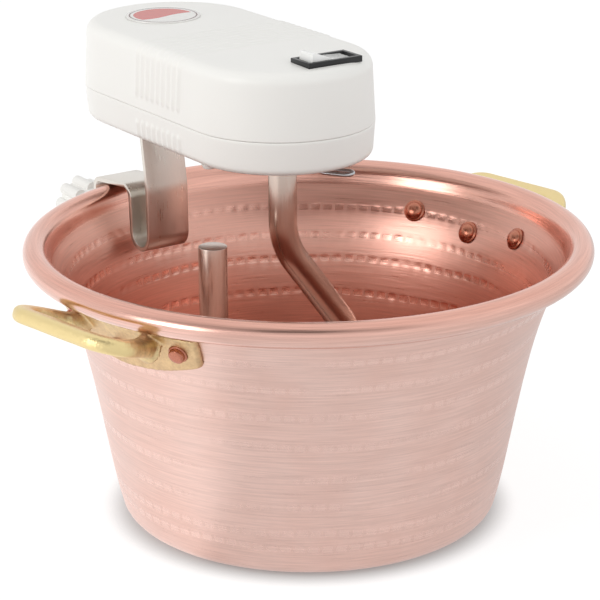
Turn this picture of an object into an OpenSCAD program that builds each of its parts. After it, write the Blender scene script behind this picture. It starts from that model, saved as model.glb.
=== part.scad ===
// Hammered copper polenta pot with an electric stirring unit clamped on its rim.
// Origin at the centre of the pot's underside, +Z up, +X along the motor housing.

/* [Pot] */
// Radius over the rolled rim
rim_r = 140; // [138:1:146]
// Height of the centre of the rolled rim
rim_z = 136.3; // [134:0.1:138]
// Radius of the rolled rim's section
bead_r = 6; // [5.5:0.1:6.5]
// Thickness of the copper wall
wall_t = 1.6; // [1.2:0.1:2]
// Thickness of the copper floor
floor_t = 2; // [1.6:0.1:2.6]
// Radius of the flat part of the floor
foot_r = 86; // [84:0.5:88]
// Radius of the corner between floor and wall
foot_corner_r = 9; // [6:0.5:12]
// Lean of the wall where it leaves the floor, in degrees
wall_lean = 16; // [14:1:18]
// Lean of the flare where it meets the rim, in degrees
flare_lean = 48; // [44:1:52]
// Diameter of the steel wire inside the rim
rim_wire_d = 8.6; // [8:0.1:8.6]

/* [Handles] */
// Direction of one handle, in degrees from +X
handle_angle = 100; // [85:1:115]
// Width of the cast bar, in the plane of the loop
handle_bar_w = 10; // [8:0.5:11]
// Thickness of the cast bar
handle_bar_t = 7.5; // [6:0.5:9]
// Distance from the pot's axis to the middle of the grip
grip_r = 157.4; // [156.4:0.2:158.4]
// Height of the middle of the grip
grip_z = 131.3; // [130:0.1:132]
// Rise of the loop, in degrees
loop_slope = 19; // [17:0.5:21]
// Half of the length of the loop, measured to where its sides would meet the grip
grip_half = 37.5; // [36:0.5:39]
// Thickness of the plate on the wall
plate_t = 3; // [2.5:0.1:4]
// Half of the length of the plate's lower edge
plate_half_l = 45; // [43:0.5:46]
// Angle between neighbouring rivets, in degrees
rivet_pitch = 17.2; // [16:0.1:17.4]
// Diameter of the rivet shanks
rivet_d = 7.6; // [6:0.1:8]
// Diameter of the domed rivet heads inside the pot
rivet_head_d = 11.6; // [10.6:0.2:13]
// How far the rivets stand out of the handle plate
rivet_proud = 2.8; // [1:0.1:3.5]

/* [Motor housing] */
// Distance of the housing's plane from the pot's axis
unit_y = -15; // [-17:0.5:-12]
// X of the round centre at the free end
nose_x = -2; // [-4:0.5:0]
// X of the round centre at the clamp end
tail_x = -98; // [-100:0.5:-96]
// Half of the width of the housing at its parting line
shell_half_w = 46; // [45:0.5:48]
// Height of the underside
shell_bottom = 185; // [184.8:0.1:185.2]
// Height of the parting line
shell_split = 201.6; // [200:0.1:203]
// Height of the top
shell_top = 234.6; // [234:0.1:236]
// Thickness of the moulded walls
shell_t = 2.4; // [2:0.1:2.6]
// Radius of the upper edge
shell_top_r = 6; // [5:0.5:7]
// Radius of the lower edge
shell_bottom_r = 3.5; // [2.5:0.5:4]
// Number of ribs across the housing
rib_count = 9; // [5:1:9]
// Distance between ribs
rib_pitch = 4.8; // [4:0.1:5]
// Height of a rib
rib_h = 0.9; // [0.5:0.1:1.2]

/* [Badge] */
// X of the middle of the badge
badge_x = -102; // [-106:1:-98]
// Distance of the badge from the housing's plane
badge_y = -4; // [-6:1:4]
// Diameter of the badge
badge_d = 38; // [30:1:40]

/* [Switch] */
// X of the middle of the switch
switch_x = 26.6; // [25:0.1:27.5]
// Distance of the switch from the housing's plane
switch_y = 7.4; // [3:0.1:8]
// Width of the switch bezel
bezel_w = 15.4; // [14.6:0.1:16.4]
// Length of the switch bezel
bezel_l = 30.4; // [29.6:0.1:31.4]
// How far the rocker is tipped, in degrees
rocker_tip = 12; // [8:1:14]

/* [Stirrer] */
// Diameter of the stirrer's bar
bar_d = 14; // [12:0.5:15]
// Distance from the drive axis to each upright
stirrer_r = 40.5; // [36:1.5:42]
// Height where the shaft starts to bend out
bend_out_z = 139; // [136:1:141]
// Height of the middle of the bottom run
run_z = 14; // [13:0.5:18]
// Height of the free end
free_end_z = 145; // [140:1:147]
// Radius of the bar's bends
bend_r = 18; // [15:3:18]
// Diameter of the drive spindle
spindle_d = 8; // [7.5:0.1:8]
// Diameter of the hitch pin's wire
hitch_d = 2.2; // [1.8:0.1:2.4]

/* [Clamp] */
// Distance of the strip's middle from the pot's axis plane
strip_y = -27; // [-28:0.5:-25]
// Width of the bent steel strip
strip_w = 24; // [22:1:25]
// Thickness of the strip
strip_t = 2.5; // [2:0.1:2.6]
// Diameter of the clamp screw
clamp_d = 6; // [5:0.5:6]

/* [Drive] */
// Gear module
gear_m = 1; // [0.9:0.05:1]
// Teeth of the motor pinion
motor_teeth = 10; // [10:1:10]
// Teeth of the large counter gear
counter_teeth = 56; // [56:1:56]
// Teeth of the small counter gear
counter_pinion_teeth = 12; // [12:1:12]
// Teeth of the output gear
output_teeth = 60; // [60:1:60]
// Share of half a pitch that a tooth fills
tooth_share = 0.8; // [0.7:0.01:0.82]
// Thickness of the motor's stack of sheets
stack_t = 18; // [16:0.5:18]

/* [Hidden] */
$fn = 96;

// Clearances
wire_gap = 0.05;
rivet_gap = 0.1;
running_gap = 0.04;
hole_gap = 0.2;

// Rim and wall line: a foot corner, then one smooth flare up to the rim
bead_ring_r = rim_r - bead_r;
wall_steps = 24;
wall_start = [foot_r + foot_corner_r * cos(wall_lean), foot_corner_r * (1 - sin(wall_lean))];
wall_end = [bead_ring_r - 3.4, rim_z - 3.3];
wall_lower = wall_start + 30 * [sin(wall_lean), cos(wall_lean)];
wall_upper = wall_end - 27.5 * [sin(flare_lean), cos(flare_lean)];
function wall_at(t) =
    pow(1 - t, 3) * wall_start + 3 * pow(1 - t, 2) * t * wall_lower
    + 3 * (1 - t) * t * t * wall_upper + pow(t, 3) * wall_end;
function wall_point(i) = wall_at(i / wall_steps);
foot_arc = [for (a = [-90 : 10.5 : -wall_lean - 5])
    [foot_r + foot_corner_r * cos(a), foot_corner_r * (1 + sin(a))]];
wall_line = [for (i = [0 : wall_steps]) wall_point(i)];
pot_line = concat(foot_arc, wall_line);

// Direction from the first to the second point, and a line moved sideways by a distance
function unit_dir(a, b) = (b - a) / norm(b - a);
function left_of(u) = [-u[1], u[0]];
function line_dir(p, i) = unit_dir(p[max(i - 1, 0)], p[min(i + 1, len(p) - 1)]);
function moved(p, d) = [for (i = [0 : len(p) - 1]) p[i] + d * left_of(line_dir(p, i))];

// Handle plate: a straight strip wrapped round the flare, so its ends rise and lean outwards
plate_line = [for (i = [16 : 23]) wall_point(i)];
plate_low = 104.8;
plate_rise = 7.5;
plate_high = 128;
plate_end_lean = 3;
plate_corner_r = 2.5;
plate_edge = [for (i = [-10 : 10]) let (y = i / 10 * (plate_half_l - plate_corner_r))
    [y, plate_low + plate_rise * pow(y / plate_half_l, 2)]];
plate_end_z = plate_low + plate_rise;

// Rivets: the middle one sits lower than the outer two, as on the strip
rivet_t = [0.842, 0.797, 0.842];
function rivet_place(k) = wall_at(rivet_t[k + 1]);
function rivet_lean(k) = let (u = unit_dir(wall_at(rivet_t[k + 1] - 0.01), wall_at(rivet_t[k + 1] + 0.01)))
    atan2(u[0], u[1]);

// Handle loop, in its own sloping plane: x outwards, y along the rim.
// The arms lean so that their direction is exactly [0.936, 0.352].
loop_reach = 36.4;
loop_root = [grip_r, grip_z] - loop_reach * [cos(loop_slope), sin(loop_slope)];
loop_arm = 37.5;
loop_root_x = loop_reach - 0.936 * loop_arm;
loop_root_y = grip_half - 0.352 * loop_arm;
loop_line = [[loop_root_x, loop_root_y], [loop_reach, grip_half],
             [loop_reach, -grip_half], [loop_root_x, -loop_root_y]];
loop_bends = [0, 10.8, 10.8, 0];

// Housing sections, as [half width, height]
draft = 1.4;
rib_top_from = shell_split + 6;
rib_low_to = shell_split - 6.5;
rib_first_x = -59.5;
rib_w = 2.4;
lip_h = 2;
lip_t = 1;
lip_gap = 0.1;
bezel_seat = 1.2;
badge_seat = 0.5;
foot_places = [[-3, 40], [-3, -40]];

// Heights inside the housing
floor_top = shell_bottom + shell_t;
chassis_z = floor_top + 2.6;
plate_thick = 2;
chassis_top = chassis_z + plate_thick;
output_z = chassis_top + 1;
output_h = 5;
counter_z = output_z + 6.5;
counter_h = 3;
gear_plate_z = chassis_z + 16;
stack_z = gear_plate_z + plate_thick;
stack_top = stack_z + stack_t;
bridge_t = 1.5;

// Places of the shafts along the housing
counter_x = -gear_m * (counter_pinion_teeth + output_teeth) / 2;
motor_x = counter_x - gear_m * (motor_teeth + counter_teeth) / 2;
counter_shaft_d = 4;
motor_shaft_d = 5;
bush_d = 12;
motor_bush_d = 9;
rotor_d = 26;
stack_bore_d = 27;
stack_half_w = 25;
stack_leg_x = motor_x - 43;

// Screw places, from the drive axis
post_places = [[-17, 36], [-17, -36], [-80, 34], [-80, -34]];
shell_screw_places = [[26, 25], [26, -25], [-122, 24], [-122, -24]];
motor_bolt_places = [[motor_x + 16, 20], [motor_x + 16, -20], [motor_x - 15, 20], [motor_x - 15, -20]];
bracket_screw_places = [[-84, strip_y - unit_y], [-66, strip_y - unit_y]];
post_d = 7;
boss_d = 9;
screw_d = 3;
bracket_screw_d = 5;

// Stirrer
bend_down_z = bend_out_z - stirrer_r * 4 / 3;
spindle_low = 156;
stirrer_top = shell_bottom - 1;
hitch_z = stirrer_top - 5;
hitch_turn = 35;
end_chamfer = 1.5;
hitch_line = [[-10, 0], [37, 0], [37, -6.9], [24, -6.9], [20.8, -4.5], [11.2, -4.5],
              [6, -8.4], [-6, -8.4], [-10.4, -5.1], [-12.8, -6.9]];
hitch_bends = [0, 3.4, 3.4, 4.5, 4.5, 4.5, 4.5, 4.5, 2, 0];

// Clamp strip, as [x, z] of the middle of its thickness
flange_z = shell_bottom - strip_t / 2;
front_leg_x = -88.8;
inner_leg_x = -105.6;
outer_leg_x = -143.2;
hook_fall = 0.11;
hook_z = rim_z + (bead_r + strip_t / 2 + 0.02) * sqrt(1 + hook_fall * hook_fall);
hook_x = -sqrt(pow(bead_ring_r, 2) - pow(strip_y + strip_w / 2, 2));
outer_leg_end = 104;
strip_bottom = 114;
strip_bend_r = (front_leg_x - inner_leg_x) / 2 - 0.1;
strip_line = [[-57, flange_z], [-95, flange_z], [front_leg_x - 0.4, 148],
              [front_leg_x, strip_bottom + strip_t / 2],
              [inner_leg_x, strip_bottom + strip_t / 2],
              [inner_leg_x - 1.4, hook_z + hook_fall * (inner_leg_x - 1.4 - hook_x)],
              [outer_leg_x, hook_z + hook_fall * (outer_leg_x - hook_x)],
              [outer_leg_x, outer_leg_end]];
strip_bends = [0, 4.5, 30, strip_bend_r, strip_bend_r, 6, 5, 0];
strip_path = rounded_line(strip_line, strip_bends);

// Clamp pad: its ball rests on the wall, with its middle on the screw's axis
pad_r = 6;
pad_gap = 0.2;
pad_t = 0.856;
pad_tilt = unit_dir(wall_at(pad_t - 0.01), wall_at(pad_t + 0.01));
pad_middle = wall_at(pad_t) + (pad_r + pad_gap) * [pad_tilt[1], -pad_tilt[0]];
clamp_z = pad_middle[1];
pad_x = -sqrt(pow(pad_middle[0], 2) - strip_y * strip_y);
pad_l = 7;
knob_x = -184;
knob_l = 22;

// A bar of any section swept along a plane line, with its bends rounded.
// The section's x lies in the plane and its y stands square to it.
function turn(u, v) = atan2(u[0] * v[1] - u[1] * v[0], u * v);
function bend_at(p, i) = turn(unit_dir(p[i - 1], p[i]), unit_dir(p[i], p[i + 1]));
function trim_at(p, r, i) =
    i == 0 || i == len(p) - 1 ? 0 : r[i] * tan(abs(bend_at(p, i)) / 2);
function arc_points(p, r, i, n) = let (u = unit_dir(p[i - 1], p[i]), bend = bend_at(p, i),
        a = p[i] - u * trim_at(p, r, i), c = a + sign(bend) * left_of(u) * r[i],
        from = atan2(a[1] - c[1], a[0] - c[0]))
    [for (k = [0 : n]) c + r[i] * [cos(from + bend * k / n), sin(from + bend * k / n)]];
function rounded_line(p, r) = concat([p[0]],
    [for (i = [1 : len(p) - 2]) each arc_points(p, r, i, max(2, round(abs(bend_at(p, i)) / 7.5)))],
    [p[len(p) - 1]]);

module swept(p, r) {
    for (i = [0 : len(p) - 2]) {
        u = unit_dir(p[i], p[i + 1]);
        a = p[i] + u * trim_at(p, r, i);
        b = p[i + 1] - u * trim_at(p, r, i + 1);
        translate([a[0], a[1], 0])
            rotate([90, 0, atan2(u[1], u[0]) + 90])
                linear_extrude(norm(b - a))
                    children();
    }
    for (i = [1 : len(p) - 2]) {
        u = unit_dir(p[i - 1], p[i]);
        bend = bend_at(p, i);
        a = p[i] - u * trim_at(p, r, i);
        c = a + sign(bend) * left_of(u) * r[i];
        from = atan2(a[1] - c[1], a[0] - c[0]);
        translate([c[0], c[1], 0])
            rotate([0, 0, bend > 0 ? from : from + bend])
                rotate_extrude(angle = abs(bend))
                    translate([r[i], 0])
                        children();
    }
}

// A rectangle with round corners
module rounded_bar(w, t, r) {
    square([w - 2 * r, t], center = true);
    square([w, t - 2 * r], center = true);
    for (x = [-1, 1], y = [-1, 1])
        translate([x * (w / 2 - r), y * (t / 2 - r)])
            circle(r = r, $fn = 24);
}

// Pot
module pot_profile() {
    inner = moved(pot_line, wall_t);
    polygon(concat([[0, 0]], pot_line, [for (i = [len(inner) - 1 : -1 : 1]) inner[i]],
                   [[foot_r - 4, floor_t], [0, floor_t]]));
    translate([bead_ring_r, rim_z])
        difference() {
            circle(r = bead_r);
            circle(r = rim_wire_d / 2 + wire_gap);
            rotate(-108)
                translate([0, -0.6])
                    square([bead_r + 1, 1.2]);
        }
}

module at_rivets() {
    for (k = [-1, 0, 1])
        rotate(k * rivet_pitch)
            translate([rivet_place(k)[0], 0, rivet_place(k)[1]])
                rotate([0, 90 + rivet_lean(k), 0])
                    children();
}

module pot_body() {
    color("#DDA58C")
        difference() {
            rotate_extrude($fn = 180)
                pot_profile();
            for (side = [0, 180])
                rotate(handle_angle + side)
                    at_rivets()
                        cylinder(h = 12, d = rivet_d + 2 * rivet_gap, center = true, $fn = 48);
        }
}

module rim_wire() {
    color("#A9ACAE")
        rotate_extrude($fn = 180)
            translate([bead_ring_r, rim_z])
                circle(d = rim_wire_d);
}

// Handles
module handle_plate() {
    outer = moved(plate_line, -plate_t);
    intersection() {
        rotate([0, 0, -24])
            rotate_extrude(angle = 48, $fn = 180)
                polygon(concat(plate_line, [for (i = [len(outer) - 1 : -1 : 0]) outer[i]]));
        translate([80, 0, 0])
            rotate([90, 0, 90])
                linear_extrude(80)
                    plate_outline();
    }
}

module plate_outline() {
    end = [[plate_half_l - 0.7, plate_end_z + 0.3], [plate_half_l + 0.3, plate_end_z + 2.2]];
    top = [plate_half_l + plate_end_lean, plate_high];
    polygon(concat(plate_edge, end, [top, [-top[0], top[1]]],
                   [for (i = [1, 0]) [-end[i][0], end[i][1]]]));
}

module handle_loop() {
    translate([loop_root[0], 0, loop_root[1]])
        rotate([0, -loop_slope, 0]) {
            swept(loop_line, loop_bends)
                rounded_bar(handle_bar_w, handle_bar_t, 3);
            for (s = [-1, 1])
                translate([loop_root_x, s * loop_root_y, 0])
                    rotate([0, 90, 0])
                        cylinder(h = 10, r1 = 7.6, r2 = 3.6, $fn = 48);
        }
}

module one_handle() {
    difference() {
        union() {
            handle_plate();
            difference() {
                handle_loop();
                rotate_extrude($fn = 180)
                    polygon(concat([[90, wall_line[8][1]]],
                                   [for (i = [8 : wall_steps]) wall_line[i] + [0.5, 0]],
                                   [[90, wall_line[wall_steps][1]]]));
            }
        }
        at_rivets() {
            cylinder(h = 12, d = rivet_d + 2 * rivet_gap, center = true, $fn = 48);
            translate([0, 0, plate_t])
                cylinder(h = 14, d = rivet_d + 2.4, $fn = 48);
        }
    }
}

module handle_left() {
    color("#C9A45C")
        rotate(handle_angle + 180)
            one_handle();
}

module handle_right() {
    color("#C9A45C")
        rotate(handle_angle)
            one_handle();
}

module one_rivet() {
    head_h = 3.6;
    head_r = (pow(rivet_head_d / 2, 2) + head_h * head_h) / (2 * head_h);
    under = -wall_t - 0.2;
    end = plate_t + rivet_proud - 0.6;
    translate([0, 0, under])
        cylinder(h = end - under, d = rivet_d, $fn = 48);
    translate([0, 0, end])
        cylinder(h = 0.6, d1 = rivet_d, d2 = rivet_d - 1.2, $fn = 48);
    translate([0, 0, under])
        rotate([180, 0, 0])
            intersection() {
                translate([0, 0, head_h - head_r])
                    sphere(r = head_r, $fn = 64);
                cylinder(h = head_h + 1, d = rivet_head_d, $fn = 64);
            }
}

module rivets_left() {
    color("#B87058")
        rotate(handle_angle + 180)
            at_rivets()
                one_rivet();
}

module rivets_right() {
    color("#B87058")
        rotate(handle_angle)
            at_rivets()
                one_rivet();
}

// Housing shapes: a half section revolved at both ends and drawn straight between them
module obround(from_x, to_x) {
    for (x = [from_x, to_x])
        translate([x, 0, 0])
            rotate_extrude($fn = 144)
                children();
    translate([from_x, 0, 0])
        rotate([90, 0, 90])
            linear_extrude(to_x - from_x)
                both_halves()
                    children();
}

module both_halves() {
    children();
    mirror([1, 0])
        children();
}

module upper_section(grow) {
    w = shell_half_w + grow;
    top = shell_top + grow;
    r = shell_top_r + grow;
    polygon(concat([[0, shell_split], [w, shell_split]],
                   [for (a = [0 : 11.25 : 90]) [w - draft - r + r * cos(a), top - r + r * sin(a)]],
                   [[0, top]]));
}

module lower_section(grow, from_z) {
    w = shell_half_w + grow;
    low = from_z - grow;
    r = shell_bottom_r + grow;
    polygon(concat([[0, low]],
                   [for (a = [-90 : 15 : 0]) [w - 1 - r + r * cos(a), low + r + r * sin(a)]],
                   [[w, shell_split], [0, shell_split]]));
}

module rib_bands(from_z, to_z) {
    for (i = [0 : rib_count - 1])
        translate([rib_first_x + i * rib_pitch, 0, 0])
            rotate([90, 0, 90])
                linear_extrude(rib_w, center = true)
                    both_halves()
                        intersection() {
                            difference() {
                                children(0);
                                children(1);
                            }
                            translate([0, from_z])
                                square([100, to_z - from_z]);
                        }
}

module at_places(places) {
    for (p = places)
        translate([p[0], p[1], 0])
            children();
}

module upper_shell() {
    color("#EFEDE6")
        translate([0, unit_y, 0])
            difference() {
                union() {
                    difference() {
                        obround(tail_x, nose_x)
                            upper_section(0);
                        difference() {
                            translate([0, 0, -0.01])
                                obround(tail_x, nose_x)
                                    upper_section(-shell_t);
                            at_places(shell_screw_places)
                                translate([0, 0, shell_split])
                                    cylinder(h = 60, d = boss_d - 1, $fn = 48);
                        }
                    }
                    rib_bands(rib_top_from, shell_top + 5) {
                        upper_section(rib_h);
                        upper_section(-0.6);
                    }
                }
                at_places(shell_screw_places)
                    translate([0, 0, shell_split - 1])
                        cylinder(h = 15, d = screw_d + 0.04, $fn = 32);
                translate([switch_x, switch_y, shell_top])
                    cube([bezel_w - 2.8, bezel_l - 2.8, 12], center = true);
                translate([switch_x, switch_y, shell_top - bezel_seat + 5])
                    cube([bezel_w + 0.2, bezel_l + 0.2, 10], center = true);
                translate([badge_x, badge_y, shell_top - badge_seat])
                    cylinder(h = 5, d = badge_d + 0.2, $fn = 96);
                translate([0, 0, shell_split - 1])
                    linear_extrude(1 + lip_h + lip_gap)
                        difference() {
                            obround_plan(shell_half_w - shell_t + lip_t + lip_gap);
                            obround_plan(shell_half_w - shell_t - 0.01);
                        }
            }
}

module obround_plan(w) {
    for (x = [tail_x, nose_x])
        translate([x, 0])
            circle(r = w, $fn = 144);
    translate([tail_x, -w])
        square([nose_x - tail_x, 2 * w]);
}

module lower_shell() {
    color("#EFEDE6")
        translate([0, unit_y, 0])
            difference() {
                union() {
                    difference() {
                        union() {
                            obround(tail_x, nose_x)
                                lower_section(0, shell_bottom);
                            translate([0, 0, shell_split - 1])
                                linear_extrude(1 + lip_h)
                                    obround_plan(shell_half_w - shell_t + lip_t);
                            rib_bands(shell_bottom + 1.2, rib_low_to) {
                                lower_section(rib_h, shell_bottom);
                                lower_section(-0.6, shell_bottom);
                            }
                            at_places(foot_places)
                                translate([0, 0, shell_bottom - 2])
                                    cylinder(h = 3, d1 = 6, d2 = 7.4, $fn = 48);
                        }
                        difference() {
                            translate([0, 0, floor_top])
                                linear_extrude(40)
                                    obround_plan(shell_half_w - shell_t);
                            at_places(shell_screw_places)
                                cylinder(h = shell_split - 0.05, d = boss_d, $fn = 48);
                            at_places(concat(post_places, bracket_screw_places))
                                cylinder(h = chassis_z, d = boss_d + 1, $fn = 48);
                        }
                    }
                }
                at_places(shell_screw_places) {
                    cylinder(h = 300, d = screw_d + 0.4, $fn = 32);
                    cylinder(h = shell_bottom + 8, d = 6.4, $fn = 48);
                }
                at_places(post_places) {
                    cylinder(h = 300, d = screw_d + 0.4, $fn = 32);
                    cylinder(h = shell_bottom + 2, d = 6.4, $fn = 48);
                }
                at_places(bracket_screw_places)
                    cylinder(h = 300, d = bracket_screw_d + 0.4, $fn = 48);
                cylinder(h = 300, d = bush_d + 1, $fn = 64);
            }
}

module hex_nut(across, h, bore) {
    linear_extrude(h)
        difference() {
            polygon([for (a = [0 : 60 : 300]) across / sqrt(3) * [cos(a), sin(a)]]);
            circle(d = bore, $fn = 48);
        }
}

module pan_screw(d, head_d, head_h, l) {
    cylinder(h = l, d = d, $fn = 32);
    translate([0, 0, -head_h])
        cylinder(h = head_h, d1 = head_d - 1, d2 = head_d, $fn = 48);
}

module shell_screws() {
    color("#8E9194")
        translate([0, unit_y, 0])
            at_places(shell_screw_places)
                translate([0, 0, shell_bottom + 8])
                    pan_screw(screw_d, 6, 2.2, 20);
}

module chassis_screws() {
    color("#8E9194")
        translate([0, unit_y, 0])
            at_places(post_places)
                translate([0, 0, shell_bottom + 2])
                    pan_screw(screw_d, 6, 1.8, 13);
}

module badge() {
    color("#E8C2B4")
        translate([badge_x, unit_y + badge_y, shell_top - badge_seat])
            cylinder(h = badge_seat + 0.5, d = badge_d, $fn = 96);
}

// Switch
module switch_body() {
    color("#161616")
        translate([switch_x, unit_y + switch_y, 0])
            difference() {
                union() {
                    translate([-bezel_w / 2, -bezel_l / 2, shell_top - bezel_seat])
                        cube([bezel_w, bezel_l, bezel_seat + 1.8]);
                    translate([-bezel_w / 2 + 1.5, -bezel_l / 2 + 1.5, shell_top - 24])
                        cube([bezel_w - 3, bezel_l - 3, 24.5]);
                    for (y = [-8, 0, 8])
                        translate([-3, y - 0.4, shell_top - 31])
                            cube([6, 0.8, 8]);
                }
                translate([-bezel_w / 2 + 2, -bezel_l / 2 + 2, shell_top - 8])
                    cube([bezel_w - 4, bezel_l - 4, 20]);
                translate([0, 0, shell_top - 1])
                    rotate([0, 90, 0])
                        cylinder(h = bezel_w - 3.1, d = 2 + 2 * running_gap, center = true, $fn = 32);
            }
}

module switch_rocker() {
    w = bezel_w - 4.8;
    half = bezel_l / 2 - 2.6;
    color("#E8E8E4")
        translate([switch_x, unit_y + switch_y, shell_top - 1])
            rotate([-rocker_tip, 0, 0]) {
                rotate([90, 0, 90])
                    linear_extrude(w, center = true)
                        polygon([[-half + 1, -3], [-half, 3.6], [-half + 2.2, 4.2], [0, 2.6],
                                 [half - 2.2, 4.2], [half, 3.6], [half - 1, -3]]);
                rotate([0, 90, 0])
                    cylinder(h = bezel_w - 3.4, d = 2, center = true, $fn = 32);
            }
}

// Chassis
module plate_plan(from_x, to_x, half_w, r) {
    translate([from_x, -half_w + r])
        square([to_x - from_x, 2 * (half_w - r)]);
    translate([from_x + r, -half_w])
        square([to_x - from_x - 2 * r, 2 * half_w]);
    for (x = [from_x + r, to_x - r], y = [-half_w + r, half_w - r])
        translate([x, y])
            circle(r = r, $fn = 32);
}

module chassis_plate() {
    color("#B9BCBE")
        translate([0, unit_y, chassis_z])
            linear_extrude(plate_thick)
                difference() {
                    plate_plan(-92, 10, 41, 5);
                    circle(d = bush_d, $fn = 64);
                    translate([counter_x, 0])
                        circle(d = counter_shaft_d, $fn = 32);
                    flat_places(post_places)
                        circle(d = screw_d + 0.4, $fn = 32);
                    flat_places(bracket_screw_places)
                        circle(d = bracket_screw_d + 0.2, $fn = 32);
                }
}

module flat_places(places) {
    for (p = places)
        translate(p)
            children();
}

module gear_plate() {
    color("#B9BCBE")
        translate([0, unit_y, gear_plate_z])
            linear_extrude(plate_thick)
                difference() {
                    plate_plan(-90, 10, 41, 5);
                    circle(d = bush_d, $fn = 64);
                    translate([counter_x, 0])
                        circle(d = counter_shaft_d, $fn = 32);
                    translate([motor_x, 0])
                        circle(d = motor_bush_d, $fn = 48);
                    flat_places(concat(motor_bolt_places, post_places))
                        circle(d = 4.2, $fn = 32);
                }
}

module plate_posts() {
    color("#C9CBCC")
        translate([0, unit_y, 0])
            at_places(post_places)
                translate([0, 0, chassis_top])
                    difference() {
                        union() {
                            cylinder(h = gear_plate_z - chassis_top, d = post_d, $fn = 48);
                            cylinder(h = gear_plate_z - chassis_top + plate_thick + 0.6, d = 4, $fn = 48);
                        }
                        translate([0, 0, -1])
                            cylinder(h = 11, d = screw_d + 0.04, $fn = 32);
                    }
}

module spindle_bushes() {
    color("#B8894A")
        translate([0, unit_y, 0]) {
            for (z = [chassis_z, gear_plate_z])
                translate([0, 0, z - 1])
                    difference() {
                        cylinder(h = plate_thick + 1.8, d = bush_d, $fn = 64);
                        translate([0, 0, -1])
                            cylinder(h = 12, d = spindle_d + 2 * running_gap, $fn = 64);
                    }
            for (z = [gear_plate_z, stack_top])
                translate([motor_x, 0, z])
                    difference() {
                        cylinder(h = z == stack_top ? bridge_t : plate_thick, d = motor_bush_d, $fn = 48);
                        translate([0, 0, -1])
                            cylinder(h = 12, d = motor_shaft_d + 2 * running_gap, $fn = 48);
                    }
        }
}

module counter_shaft() {
    color("#C9CBCC")
        translate([counter_x, unit_y, chassis_z])
            cylinder(h = gear_plate_z + plate_thick - chassis_z, d = counter_shaft_d, $fn = 48);
}

// Gears: straight-sided teeth on a root circle
module gear_plan(teeth, turned) {
    pitch_r = gear_m * teeth / 2;
    half_tooth = 90 / teeth * tooth_share;
    root_r = pitch_r - 1.15 * gear_m;
    tip_r = pitch_r + 0.85 * gear_m;
    slope = 57.3 * tan(20);
    rotate(turned)
        polygon([for (i = [0 : teeth - 1], q = [[root_r, -1], [tip_r, -1], [tip_r, 1], [root_r, 1]])
            let (a = 360 / teeth * i
                     + q[1] * (half_tooth - slope * (q[0] - pitch_r) / pitch_r))
            q[0] * [cos(a), sin(a)]]);
}

module output_gear() {
    color("#E4DFCB")
        translate([0, unit_y, output_z])
            difference() {
                union() {
                    linear_extrude(output_h)
                        gear_plan(output_teeth, 0);
                    cylinder(h = output_h + 1, d = 16, $fn = 64);
                }
                translate([0, 0, -1])
                    cylinder(h = 20, d = spindle_d, $fn = 64);
                for (s = [-1, 1])
                    translate([0, 0, output_h / 2 + s * (output_h / 2 + 0.01)])
                        ring_groove(11, 25, 1.6);
            }
}

module ring_groove(r1, r2, h) {
    difference() {
        cylinder(h = 2 * h, r = r2, center = true, $fn = 96);
        cylinder(h = 4 * h, r = r1, center = true, $fn = 96);
    }
}

module counter_gear() {
    color("#E4DFCB")
        translate([counter_x, unit_y, 0])
            difference() {
                union() {
                    translate([0, 0, counter_z])
                        linear_extrude(counter_h)
                            gear_plan(counter_teeth, 0);
                    translate([0, 0, output_z])
                        linear_extrude(counter_z - output_z)
                            gear_plan(counter_pinion_teeth, 180 / counter_pinion_teeth);
                }
                cylinder(h = 300, d = counter_shaft_d + 2 * running_gap, $fn = 48);
            }
}

module drive_spindle() {
    color("#C4C6C8")
        translate([0, unit_y, 0])
            difference() {
                translate([0, 0, spindle_low])
                    cylinder(h = gear_plate_z + plate_thick + 3 - spindle_low, d = spindle_d, $fn = 64);
                hitch_hole();
            }
}

module hitch_hole() {
    translate([0, 0, hitch_z])
        rotate([0, 0, hitch_turn])
            rotate([0, 90, 0])
                cylinder(h = 40, d = hitch_d + 0.2, center = true, $fn = 32);
}

// Motor
module motor_stack() {
    color("#6F7276")
        translate([0, unit_y, stack_z])
            linear_extrude(stack_t)
                difference() {
                    translate([stack_leg_x, -stack_half_w])
                        square([motor_x + 21 - stack_leg_x, 2 * stack_half_w]);
                    translate([stack_leg_x + 12, -stack_half_w + 8])
                        square([10, 2 * stack_half_w - 16]);
                    translate([motor_x, 0])
                        circle(d = stack_bore_d, $fn = 64);
                    flat_places(motor_bolt_places)
                        circle(d = 4.2, $fn = 32);
                }
}

module coil_ring(x_wall, z_wall, l, gap) {
    difference() {
        translate([stack_leg_x - gap - x_wall, -l / 2, stack_z - gap - z_wall])
            cube([12 + 2 * (gap + x_wall), l, stack_t + 2 * (gap + z_wall)]);
        translate([stack_leg_x - gap, -l, stack_z - gap])
            cube([12 + 2 * gap, 2 * l, stack_t + 2 * gap]);
    }
}

module motor_bobbin() {
    color("#2B2B2D")
        translate([0, unit_y, 0]) {
            coil_ring(0.8, 0.8, 30, 0.1);
            for (s = [-1, 1])
                translate([0, s * 14.25, 0])
                    coil_ring(5.6, 4.4, 1.5, 0.1);
        }
}

module motor_winding() {
    color("#B5623C")
        translate([0, unit_y, 0])
            coil_ring(4.4, 3.2, 27, 0.95);
}

module motor_bridge() {
    color("#B9BCBE")
        translate([0, unit_y, stack_top])
            linear_extrude(bridge_t)
                difference() {
                    translate([motor_x, 0])
                        square([38, 46], center = true);
                    translate([motor_x, 0])
                        circle(d = motor_bush_d, $fn = 48);
                    for (s = [-1, 1])
                        translate([motor_x + s * 30, 0])
                            circle(r = 20, $fn = 64);
                    flat_places(motor_bolt_places)
                        circle(d = 4.2, $fn = 32);
                }
}

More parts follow.
